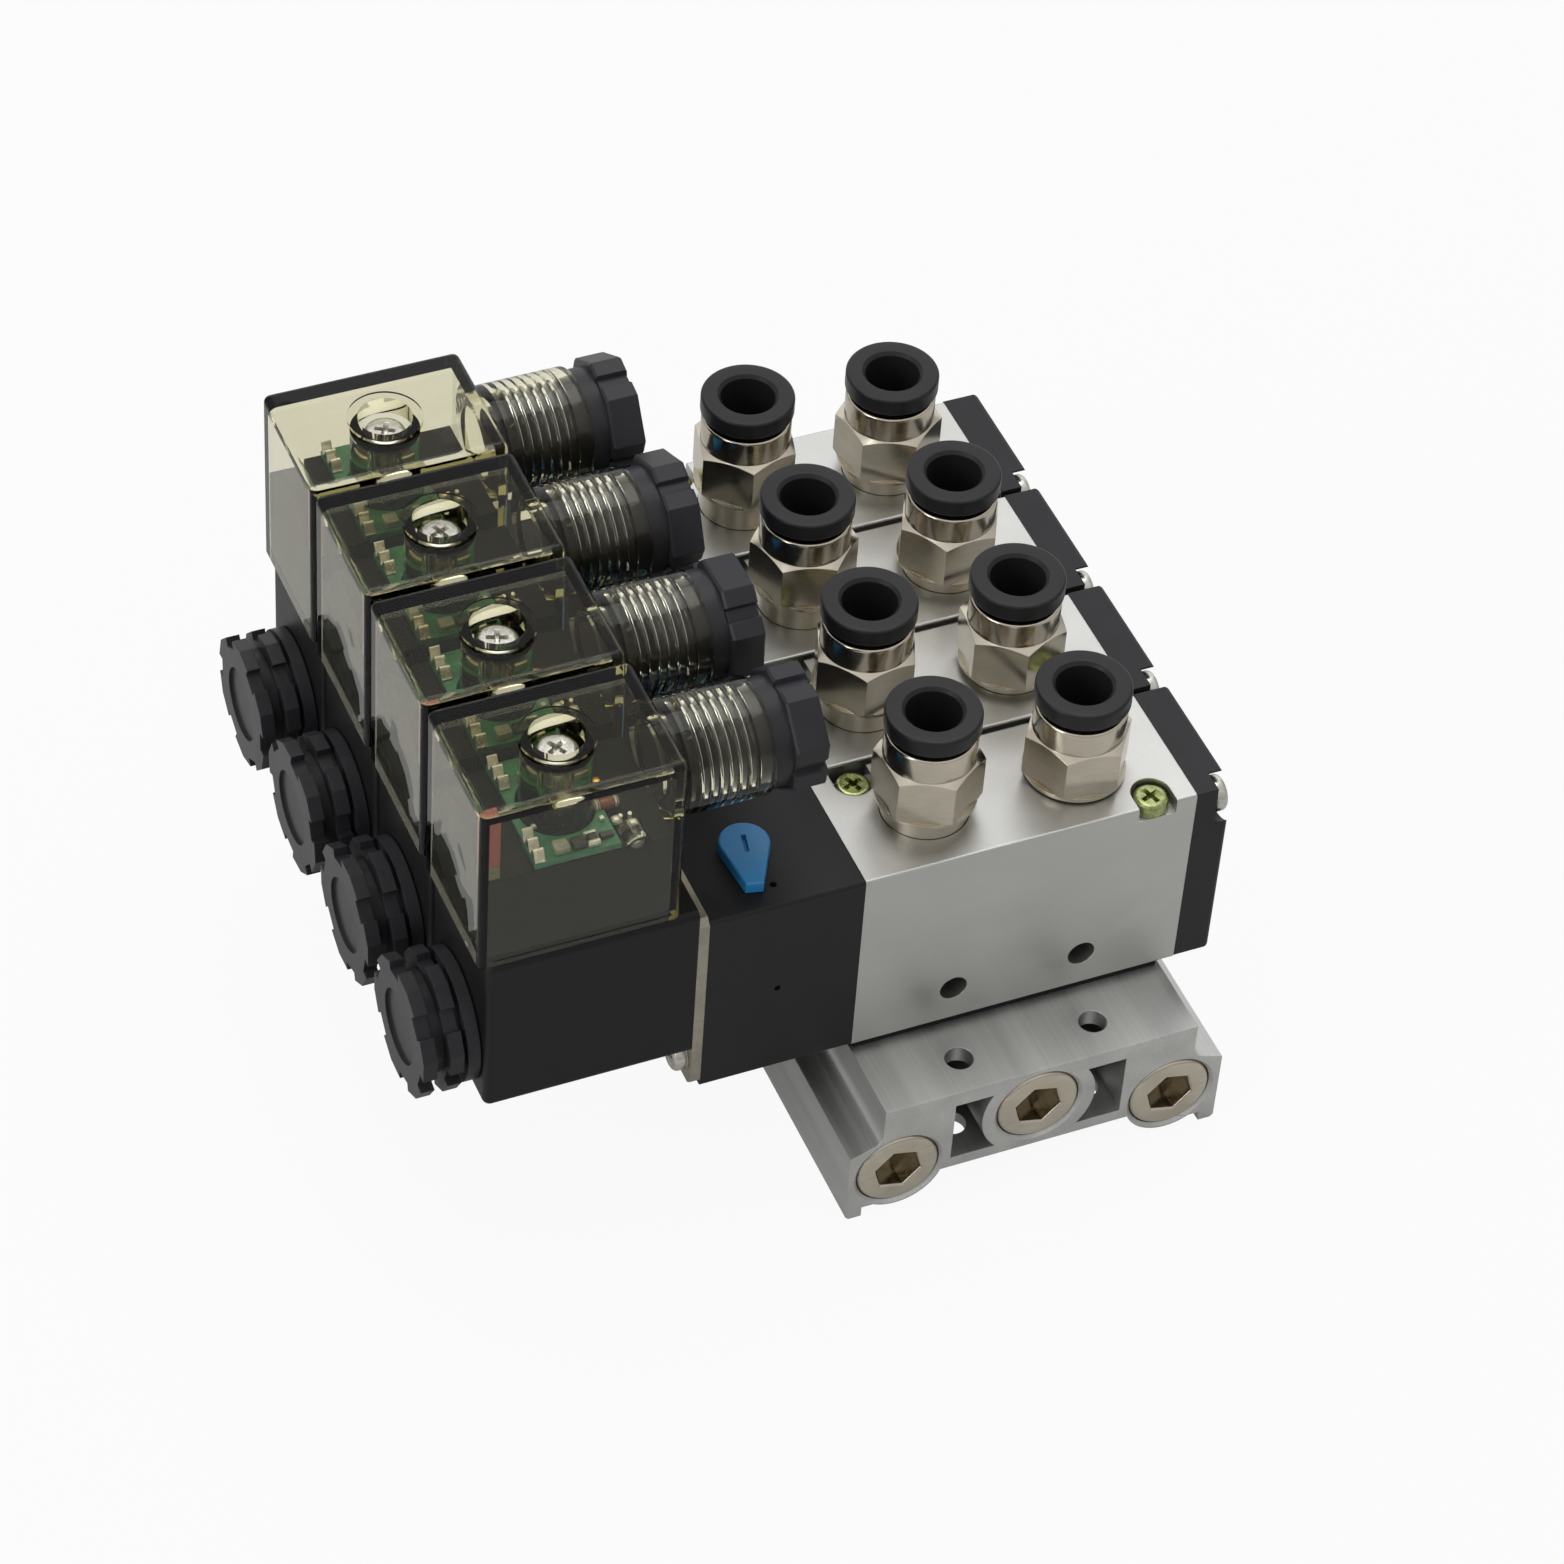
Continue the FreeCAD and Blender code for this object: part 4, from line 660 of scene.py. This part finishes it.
def channel_grid(w, half_length):
    """The wall below a channel whose axis is Y: at each radius an arc that starts level with the web's underside, where
    the sine of its angle is the drop over the radius, and ends level with the web beside the foot. Each end of the arc
    closes on one point."""
    mouth, end = half_length - w.mouth, half_length - w.thread_depth
    profile = np.array([
        (w.outer_radius, -half_length), (w.outer_radius, half_length), (w.thread_radius + w.mouth, half_length),
        (w.thread_radius, mouth), (w.thread_radius, end), (w.bore_radius, end), (w.bore_radius, -end),
        (w.thread_radius, -end), (w.thread_radius, -mouth), (w.thread_radius + w.mouth, -half_length),
    ])
    steps = 33
    closing = np.full((len(profile), 1), w.outer_radius - w.end_inset)
    radius = np.concatenate([closing, np.tile(profile[:, :1], (1, steps)), closing], axis=1)
    along = np.concatenate([0.0 * closing, np.tile(profile[:, 1:], (1, steps)), 0.0 * closing], axis=1)
    share = np.concatenate([[0.0], np.linspace(0.0, 1.0, steps), [1.0]])[None, :]
    first = math.pi + np.arcsin(w.web_drop / radius)
    last = 1.5 * math.pi + np.arccos(np.minimum(1.0, w.foot_drop / radius))
    angle = first + share * (last - first)
    return np.stack([radius * np.cos(angle), along, radius * np.sin(angle)], axis=-1)


def nut_grid(n):
    """A gland nut about Z from the end of the tube: a spigot, a collar, and a ring of eight flats that drops to a notch
    round every second corner."""
    angles = np.arange(256) * TURN / 256
    away = np.abs((angles + TURN / 8.0) % (TURN / 4.0) - TURN / 8.0)
    notch_half_angle, edge = 0.11, 0.35 * MM
    ring = np.where(away < notch_half_angle, n.notch_radius, polygon_outline(angles, n.ring_flats, 8))
    end = n.collar_length + n.ring_length
    rows = [
        (n.bore_radius, -n.spigot_length), (n.spigot_radius, -n.spigot_length), (n.spigot_radius, 0.0),
        (n.collar_radius, 0.0), (n.collar_radius, n.collar_length), (ring - edge, n.collar_length),
        (ring, n.collar_length + edge), (ring, end - edge), (ring - edge, end), (n.bore_radius + edge, end),
        (n.bore_radius, end - edge),
    ]
    return rings(rows, angles)


def board_grid(b):
    """A board about the boss axis with its underside at height 0: rings from the hole out to the rectangular edge."""
    corner = math.atan2(b.half_width, b.right - b.hole_x), math.atan2(b.half_width, b.left - b.hole_x)
    marks = np.sort([-corner[1], -corner[0], corner[0], corner[1]])
    angles = np.unique(np.concatenate([np.linspace(-math.pi, math.pi, 97)[:-1], marks]))
    along = np.where(np.cos(angles) > 0.0, b.right - b.hole_x, b.hole_x - b.left)
    reach = along / np.maximum(np.abs(np.cos(angles)), 1e-9)
    edge = np.minimum(reach, b.half_width / np.maximum(np.abs(np.sin(angles)), 1e-9))
    rows = [(b.hole_radius, 0.0), (edge, 0.0), (edge, b.thickness), (b.hole_radius, b.thickness)]
    return rings(rows, angles)


def pillow_grid(size, corner=0.12):
    """A rounded block on height 0: a ball whose cosines and sines are raised to a small power, which squares it off."""
    up = np.linspace(-math.pi / 2.0, math.pi / 2.0, 17)[:, None]
    turned = (np.arange(32) * TURN / 32)[None, :]

    def squared(value):
        """A cosine or sine, raised to the small power with its sign kept."""
        return np.sign(value) * np.abs(value) ** (corner * 2.0)

    x = squared(np.cos(up)) * squared(np.cos(turned)) * size[0] / 2.0
    y = squared(np.cos(up)) * squared(np.sin(turned)) * size[1] / 2.0
    z = np.broadcast_to((squared(np.sin(up)) + 1.0) * size[2] / 2.0, x.shape)
    return np.stack([x, y, z], axis=-1)


def barrel_grid(radius, half_length):
    """A round bar along X with rounded ends, turned once about X."""
    bend = radius * 0.5
    corners = [(0.0, -half_length, 0.0), (radius, -half_length, bend), (radius, half_length, bend)]
    profile = rounded([*corners, (0.0, half_length, 0.0)], 4)
    to_x = np.array(Matrix.Rotation(math.pi / 2.0, 3, "Y")).T
    return rings(profile, np.arange(24) * TURN / 24) @ to_x


def ribbon_grid(path, width, thickness):
    """A flat ribbon carried along a path in the Y-Z plane: four corners round each point, across X and along the path's
    normal."""
    path = np.array(path)
    run = np.gradient(path, axis=0)
    run /= np.linalg.norm(run, axis=1, keepdims=True)
    side = np.stack([-run[:, 1], run[:, 0]], axis=1) * thickness / 2.0
    corners = []
    for x, sign in ((-width / 2.0, -1.0), (width / 2.0, -1.0), (width / 2.0, 1.0), (-width / 2.0, 1.0)):
        corners.append(np.column_stack([np.full(len(path), x), path + sign * side]))
    ring = np.stack(corners, axis=1)
    ends = [np.broadcast_to(ring[i].mean(axis=0), (1, 4, 3)) for i in (0, -1)]
    return np.concatenate([ends[0], ring, ends[1]])


def tube_grid(path, radius, sides=12):
    """A round wire carried along a path: circles across the path, in a frame whose first side stays level."""
    path = np.array(path)
    run = np.gradient(path, axis=0)
    run /= np.linalg.norm(run, axis=1, keepdims=True)
    level = np.cross(run, (1.0, 0.0, 0.0))
    level /= np.linalg.norm(level, axis=1, keepdims=True)
    third = np.cross(run, level)
    angles = (np.arange(sides) * TURN / sides)[None, :, None]
    ring = path[:, None, :] + radius * (np.cos(angles) * level[:, None, :] + np.sin(angles) * third[:, None, :])
    ends = [np.broadcast_to(path[i], (1, sides, 3)) for i in (0, -1)]
    return np.concatenate([ends[0], ring, ends[1]])


def spring_grid(radius, wire, turns, length):
    """A compression spring along X from 0: a wire whose middle turns evenly round the axis as it moves on."""
    share = np.linspace(0.0, 1.0, int(24 * turns) + 1)
    angle, middle = TURN * turns * share, radius - wire / 2.0
    path = np.column_stack([wire / 2.0 + (length - wire) * share, middle * np.cos(angle), middle * np.sin(angle)])
    return tube_grid(path, wire / 2.0, 8)


def settings():
    """The island's settings in the open scene."""
    return bpy.context.scene.valve_island


def middle_of(node):
    """The middle of a CAD node's box."""
    low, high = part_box(node)
    return (low + high) / 2.0


def build(name, grid, places, finish_name, body, slot, *nodes, **wrap):
    """A piece that holds a grid at every place, rides on a body and stands for the nodes it replaces; the slot is not
    used.
    """
    piece = surface(name, placed(grid, places), bpy.data.materials[finish_name], **wrap)
    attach(piece, body)
    if nodes:
        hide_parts(*nodes)
    return piece


class ISLAND_OT_finishes(bpy.types.Operator):
    """Make the finishes and give each CAD piece its own"""

    bl_idname = "island.finishes"
    bl_label = "Finishes"

    def execute(self, context):
        finishes = {made.name: made for made in make_finishes(settings().finishes)}
        for name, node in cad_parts.items():
            for slot in node.material_slots:
                slot.material = finishes[NODE_FINISH[kind_of(name)]]
        return {"FINISHED"}


class ISLAND_OT_fittings(bpy.types.Operator):
    """Make the eight nickel-plated push-in fittings"""

    bl_idname = "island.fittings"
    bl_label = "Port fittings"

    def execute(self, context):
        f = settings().fittings
        places = []
        for name, turn in zip(COLLETS, (4.0, 24.0, 38.0, 52.0, 14.0, 33.0, 47.0, 8.0)):
            middle, top = middle_of(f"release_collet_{name}"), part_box(f"release_collet_{name}")[1].z
            places.append(move(Vector((middle.x, middle.y, top - f.collet_height)), "Z", math.radians(turn)))
        build("port_fitting_set", fitting_grid(f), places, "nickel_plated_brass", "island", "nickel_plate",
              "port_fittings", along=True)
        return {"FINISHED"}


class ISLAND_OT_collets(bpy.types.Operator):
    """Make the eight release collets, each on its own moving body"""

    bl_idname = "island.collets"
    bl_label = "Release collets"

    def execute(self, context):
        grid = collet_grid(settings().fittings)
        for name in COLLETS:
            node = f"release_collet_{name}"
            middle = middle_of(node)
            top = Vector((middle.x, middle.y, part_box(node)[1].z))
            build(f"collet_ring_{name}", grid, [move(top)], "collet_acetal", f"collet_{name}", "black_acetal", node,
                  along=True)
        return {"FINISHED"}


class ISLAND_OT_screws(bpy.types.Operator):
    """Make the mounting, end-cap, plate and connector screws and the spring washers"""

    bl_idname = "island.screws"
    bl_label = "Screws"

    def execute(self, context):
        s, p = settings().screws, settings().places
        # Every screw stands at its own angle, as screws do
        mounting, cap, plate, connector = [], [], [], []
        left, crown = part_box("retaining_plates")[0].x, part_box("connector_screws")[1].z
        for k in STATIONS:
            low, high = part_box(f"valve_body_{k}")
            middle = (low + high) / 2.0
            for side, cap_height in ((-1, p.cap_high), (1, p.cap_low)):
                x = middle.x + side * p.mounting_spread / 2.0
                seat = Vector((x, middle.y - side * p.mounting_side, high.z - p.mounting_sink))
                mounting.append(move(seat, "Z", math.radians(20.0 + 35.0 * (k - 1))))
                seat = Vector((high.x + p.cap_seat, middle.y + side * p.cap_side, low.z + cap_height))
                cap.append(move(seat, "X", math.radians(25.0 * (k - 1))))
                seat = Vector((left, middle.y + side * p.plate_side, low.z + p.plate_height))
                plate.append(move(seat, "-X", 0.5 * k))
            shell_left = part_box(f"connector_shell_{k}")[0].x
            seat = Vector((shell_left + p.boss_from_left, middle.y, crown - s.connector_height))
            connector.append(move(seat, "Z", math.radians(30.0 + 40.0 * (k - 1))))
        raised = [place @ Matrix.Translation((0.0, 0.0, s.washer_thickness)) for place in cap]
        height = s.head_height
        bright = ("clear_chromate", "island", "nickel_plate")
        build("mounting_screw_set", screw_grid(s, s.mounting_head, height, s.mounting_shank), mounting,
              "yellow_chromate", "island", "yellow_zinc", "mounting_screws")
        build("end_cap_screw_set", screw_grid(s, s.cap_head, height, s.shank), raised, *bright, "end_cap_screws")
        build("spring_washer_set", washer_grid(s), cap, *bright, "end_cap_screws", along=True, around=False)
        build("plate_screw_set", screw_grid(s, s.plate_head, height, s.shank), plate, *bright, "plate_screws")
        build("connector_screw_set", screw_grid(s, s.connector_head, s.connector_height, s.connector_shank), connector,
              *bright, "connector_screws")
        return {"FINISHED"}


class ISLAND_OT_plugs(bpy.types.Operator):
    """Make the three hexagon-socket plugs of the manifold"""

    bl_idname = "island.plugs"
    bl_label = "Channel plugs"

    def execute(self, context):
        low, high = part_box("manifold_plugs")
        p = settings().plugs
        exhaust, supply = low.z + p.radius, high.z - p.radius
        axes = ((low.x + p.radius, exhaust), ((low.x + high.x) / 2.0, supply), (high.x - p.radius, exhaust))
        places = [move(Vector((x, low.y, z)), "-Y", math.radians(15.0)) for x, z in axes]
        build("channel_plug_set", plug_grid(p), places, "nickel_plated_brass", "island", "nickel_plate",
              "manifold_plugs")
        return {"FINISHED"}


class ISLAND_OT_channel(bpy.types.Operator):
    """Make the lower wall of the manifold's right exhaust channel"""

    bl_idname = "island.channel"
    bl_label = "Channel wall"

    def execute(self, context):
        w = settings().channel
        low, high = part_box("manifold")
        place = move(Vector((high.x - w.from_side, (low.y + high.y) / 2.0, low.z + w.height)))
        build("exhaust_channel_wall", channel_grid(w, (high.y - low.y) / 2.0), [place], "extruded_aluminium", "island",
              "anodised_aluminium", along=True, around=False)
        return {"FINISHED"}


class ISLAND_OT_springs(bpy.types.Operator):
    """Make the springs inside the valves, one for the spool and one for the armature of each station"""

    bl_idname = "island.springs"
    bl_label = "Springs"

    def execute(self, context):
        s = settings().springs
        for kind, wire, turns, travel, held_low in (
            ("spool", s.spool_wire, s.spool_turns, s.spool_travel, False),
            ("armature", s.armature_wire, s.armature_turns, s.armature_travel, True),
        ):
            low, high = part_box(f"{kind}_springs")
            middle, reach = (low.z + high.z) / 2.0, high.x - low.x
            grid = spring_grid((high.z - low.z) / 2.0, wire, turns, reach)
            for k in STATIONS:
                start = Vector((low.x, middle_of(f"valve_body_{k}").y, middle))
                piece = build(f"{kind}_spring_{k}", grid, [Matrix.Translation(start)], "plain_steel", "island",
                              "zinc_steel", f"{kind}_springs")
                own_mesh(piece)
        return {"FINISHED"}


class ISLAND_OT_nuts(bpy.types.Operator):
    """Make the notched nuts of the cable glands"""

    bl_idname = "island.nuts"
    bl_label = "Gland nuts"

    def execute(self, context):
        n = settings().nuts
        low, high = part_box("gland_nuts")
        places = []
        for k, turn in zip(STATIONS, (2.0, 43.0, 20.0, 12.0)):
            seat = Vector((low.x + n.spigot_length, middle_of(f"valve_body_{k}").y, (low.z + high.z) / 2.0))
            places.append(move(seat, "X", math.radians(turn)))
        build("gland_nut_set", nut_grid(n), places, "nut_nylon", "island", "black_plastic", "gland_nuts", along=True)
        return {"FINISHED"}


class ISLAND_OT_boards(bpy.types.Operator):
    """Make the circuit boards with their leaves, chips, resistors, legs and red strips"""

    bl_idname = "island.boards"
    bl_label = "Circuit boards"

    def execute(self, context):
        b = settings().boards
        homes = []
        for k in STATIONS:
            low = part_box(f"connector_shell_{k}")[0]
            homes.append(Vector((low.x, middle_of(f"valve_body_{k}").y, low.z)))
        top = b.bottom + b.thickness
        front = -b.half_width

        def all_stations(name, grid, finish_name, spots, *nodes, **wrap):
            """One piece that holds a grid at every spot of every station."""
            places = [move(home + Vector(spot)) for home in homes for spot in spots]
            build(name, grid, places, finish_name, "island", "green_board", *nodes, **wrap)

        all_stations("board_plate_set", board_grid(b), "solder_mask", [(b.hole_x, 0.0, b.bottom)], "circuit_boards",
                     along=True)
        # Two and a half folds along each leaf
        share = np.linspace(0.0, 1.0, 61)
        fold = b.leaf_height * (0.55 - 0.45 * np.cos(share * TURN * 2.5))
        path = np.stack([(share - 0.5) * b.leaf_length, fold], axis=1)
        leaf_y = b.half_width - b.leaf_length / 2.0
        leaves = [(b.left + b.leaf_width / 2.0, y, top) for y in (-leaf_y, leaf_y)]
        all_stations("contact_leaf_set", ribbon_grid(path, b.leaf_width, b.leaf_thickness), "tin_plate", leaves)
        # Size in millimetres, then places from the connector's left face and the board's front edge
        chips = (
            ("chip_round_set", (2.2, 2.0, 1.2), "glazed_ceramic", [(12.6, 1.5)]),
            ("chip_dark_set", (1.9, 2.0, 1.0), "chip_epoxy", [(15.1, 1.5), (17.6, 16.8)]),
            ("chip_body_set", (1.3, 1.7, 1.0), "chip_epoxy", [(17.2, 1.6), (19.6, 15.6)]),
            ("chip_end_set", (1.8, 0.5, 1.1), "tin_plate", [(17.2, 0.7), (17.2, 2.5), (17.6, 15.6), (17.6, 18.0)]),
            ("chip_flat_set", (2.0, 1.0, 0.6), "chip_epoxy", [(19.4, 1.9)]),
            ("solder_dot_set", (0.7, 0.7, 0.6), "tin_plate", [(10.6, 6.6), (12.0, 15.2), (19.9, 5.0), (19.9, 13.3)]),
        )
        for name, size, finish_name, spots in chips:
            grid = pillow_grid([value * MM for value in size])
            all_stations(name, grid, finish_name, [(x * MM, front + y * MM, top) for x, y in spots])
        bar = (21.6 * MM, front + 7.6 * MM, top + 0.2 * MM)
        all_stations("resistor_body_set", barrel_grid(0.85 * MM, 1.2 * MM), "lacquer", [bar])
        caps = [(bar[0] - 1.4 * MM, bar[1], bar[2]), (bar[0] + 1.4 * MM, bar[1], bar[2])]
        all_stations("resistor_cap_set", barrel_grid(0.9 * MM, 0.4 * MM), "tin_plate", caps)
        dome = pillow_grid((1.7 * MM, 1.7 * MM, 1.2 * MM), 0.4)
        all_stations("brass_dome_set", dome, "polished_brass", [(21.6 * MM, front + 10.9 * MM, top - 1.0 * MM)])
        # Each leg of the light bends over from upright to the board
        sweep = np.linspace(0.0, math.pi * 0.62, 14)
        leg_y = front + (3.8 + 1.3 * np.sin(sweep)) * MM
        leg = np.stack([0.0 * sweep, leg_y, b.light_height + 1.0 * MM * (1.0 - np.cos(sweep))], axis=1)
        legs = [(b.light_x - 0.8 * MM, 0.0, 0.0), (b.light_x + 0.6 * MM, 0.0, 0.0)]
        all_stations("light_leg_set", tube_grid(leg, 0.32 * MM), "tin_plate", legs)
        blob = pillow_grid((1.5 * MM, 1.3 * MM, 1.2 * MM), 0.35)
        spots = [(21.9 * MM, front + 4.6 * MM, b.bottom), (23.9 * MM, front + 3.3 * MM, b.bottom)]
        all_stations("solder_blob_set", blob, "tin_plate", spots)
        strip_x = b.strip_left + b.strip_width / 2.0
        for name, finish_name, low, high in (
            ("red_strip_set", "copper_strip", b.strip_bottom, b.strip_top),
            ("corner_post_set", "olive_polycarbonate_post", b.post_bottom, b.strip_bottom),
        ):
            strip = pillow_grid((b.strip_width, b.strip_depth, high - low), 0.06)
            all_stations(name, strip, finish_name, [(strip_x, front + 0.75 * MM, low)])
        return {"FINISHED"}


class ISLAND_OT_stage(bpy.types.Operator):
    """Make the floor, the lamps, the room light and the camera"""

    bl_idname = "island.stage"
    bl_label = "Stage"

    def execute(self, context):
        stage = settings().stage
        half = stage.floor_size / 2.0
        mesh = bpy.data.meshes.new("floor")
        corners = [(-half, -half, 0), (half, -half, 0), (half, half, 0), (-half, half, 0)]
        mesh.from_pydata(corners, [], [(0, 1, 2, 3)])
        floor = bpy.data.objects.new("floor", mesh)
        context.scene.collection.objects.link(floor)
        mesh.materials.append(floor_paper(stage.floor))
        room(context.scene, stage)
        # Width and height, then place, in metres
        lamp(context.scene, "top_box", stage.top_light, (1.0, 1.0), (0.10, 0.40, 1.35))
        lamp(context.scene, "back_box", stage.back_light, (2.4, 1.2), (0.55, 1.35, 0.60))
        lamp(context.scene, "side_lamp", stage.side_light, (0.6, 0.6), (-1.0, -0.25, 0.55))
        camera(context.scene, stage.lens)
        return {"FINISHED"}


def floor_paper(base):
    """Pale paper floor: it takes the soft shadow, shows white to the camera and through glass, and is a little paler in
    reflections than its own colour."""
    made, tree = blank("pale_paper")
    shown, reflected = 0.93, 0.17
    paper = add(tree, "BsdfPrincipled", {"Base Color": base, "Roughness": 0.9})
    white = add(tree, "Emission", {"Color": (1.0, 1.0, 1.0, 1.0), "Strength": 1.0})
    path = add(tree, "LightPath")
    direct = add(tree, "Math", {0: path.outputs["Is Camera Ray"], 1: path.outputs["Is Transmission Ray"]},
                 operation="MAXIMUM")
    full = add(tree, "Math", {0: direct.outputs[0], 1: shown}, operation="MULTIPLY")
    part = add(tree, "Math", {0: path.outputs["Is Glossy Ray"], 1: reflected}, operation="MULTIPLY")
    share = add(tree, "Math", {0: full.outputs[0], 1: part.outputs[0]}, operation="MAXIMUM")
    mixed = add(tree, "MixShader", {0: share.outputs[0], 1: paper.outputs[0], 2: white.outputs[0]})
    add(tree, "OutputMaterial", {"Surface": mixed.outputs[0]})
    return made


def room(scene, stage):
    """The room light: darker at eye height, brighter overhead, and white where the camera sees past the floor."""
    world = bpy.data.worlds.new("studio")
    world.use_nodes = True
    tree = world.node_tree
    tree.nodes.clear()
    where = add(tree, "TexCoord").outputs["Generated"]
    split = add(tree, "SeparateXYZ", {"Vector": where})
    bright = add(tree, "MapRange", {
        "Value": split.outputs["Z"], "From Min": 0.0, "From Max": 0.9, "To Min": stage.horizon, "To Max": stage.sky})
    path = add(tree, "LightPath")
    strength = add(tree, "Mix", {0: path.outputs["Is Camera Ray"], 2: bright.outputs[0], 3: 1.0})
    light = add(tree, "Background", {"Color": (1.0, 1.0, 1.0, 1.0), "Strength": strength.outputs[0]})
    add(tree, "OutputWorld", {"Surface": light.outputs[0]})
    scene.world = world
    scene.view_settings.view_transform = "Standard"


def lamp(scene, name, power, size, place):
    """A rectangular soft lamp that points at the island."""
    data = bpy.data.lights.new(name, "AREA")
    data.shape = "RECTANGLE"
    data.size, data.size_y = size
    data.energy = power
    made = bpy.data.objects.new(name, data)
    made.location = place
    made.rotation_euler = (Vector((0.0, 0.0, 0.04)) - Vector(place)).to_track_quat("-Z", "Y").to_euler()
    scene.collection.objects.link(made)


def camera(scene, lens):
    """The camera at the photograph's angle, its axes and place fitted to the island's straight edges."""
    data = bpy.data.cameras.new("camera")
    data.lens, data.sensor_width = lens, 36.0
    data.shift_x, data.shift_y = -0.00038, 0.00086
    data.clip_start, data.clip_end = 0.05, 20.0
    made = bpy.data.objects.new("camera", data)
    right, up, back = (0.9215, -0.3845, 0.0545), (0.2364, 0.6669, 0.7067), (-0.3081, -0.6383, 0.7054)
    turn = Matrix((right, up, back)).transposed().to_4x4()
    made.matrix_world = Matrix.Translation((-0.2414, -0.5241, 0.6103)) @ turn
    scene.collection.objects.link(made)
    scene.camera = made


class ISLAND_PT_panel(bpy.types.Panel):
    """Lists the island's pieces and their sizes"""

    bl_label = "Valve island"
    bl_space_type = "VIEW_3D"
    bl_region_type = "UI"
    bl_category = "Valve island"

    def draw(self, context):
        for operator in OPERATORS:
            self.layout.operator(operator.bl_idname)
        for group in IslandSettings.__annotations__:
            box = self.layout.box()
            box.label(text=group.capitalize())
            holder = getattr(context.scene.valve_island, group)
            for key in holder.__annotations__:
                box.prop(holder, key)


GROUPS = (
    ScrewSizes, ScrewPlaces, FittingSizes, PlugSizes, ChannelSizes, SpringSizes, NutSizes, BoardSizes, Finishes,
    StageSettings, IslandSettings,
)
OPERATORS = (
    ISLAND_OT_finishes, ISLAND_OT_fittings, ISLAND_OT_collets, ISLAND_OT_screws, ISLAND_OT_plugs,
    ISLAND_OT_channel, ISLAND_OT_springs, ISLAND_OT_nuts, ISLAND_OT_boards, ISLAND_OT_stage,
)


def register():
    for each in (*GROUPS, *OPERATORS, ISLAND_PT_panel):
        bpy.utils.register_class(each)
    bpy.types.Scene.valve_island = PointerProperty(type=IslandSettings)


def unregister():
    del bpy.types.Scene.valve_island
    for each in reversed((*GROUPS, *OPERATORS, ISLAND_PT_panel)):
        bpy.utils.unregister_class(each)


def main():
    """Makes every piece in order."""
    register()
    bpy.ops.island.finishes()
    bpy.ops.island.fittings()
    bpy.ops.island.collets()
    bpy.ops.island.screws()
    bpy.ops.island.plugs()
    bpy.ops.island.channel()
    bpy.ops.island.springs()
    bpy.ops.island.nuts()
    bpy.ops.island.boards()
    bpy.ops.island.stage()


if __name__ == "__main__":
    main()
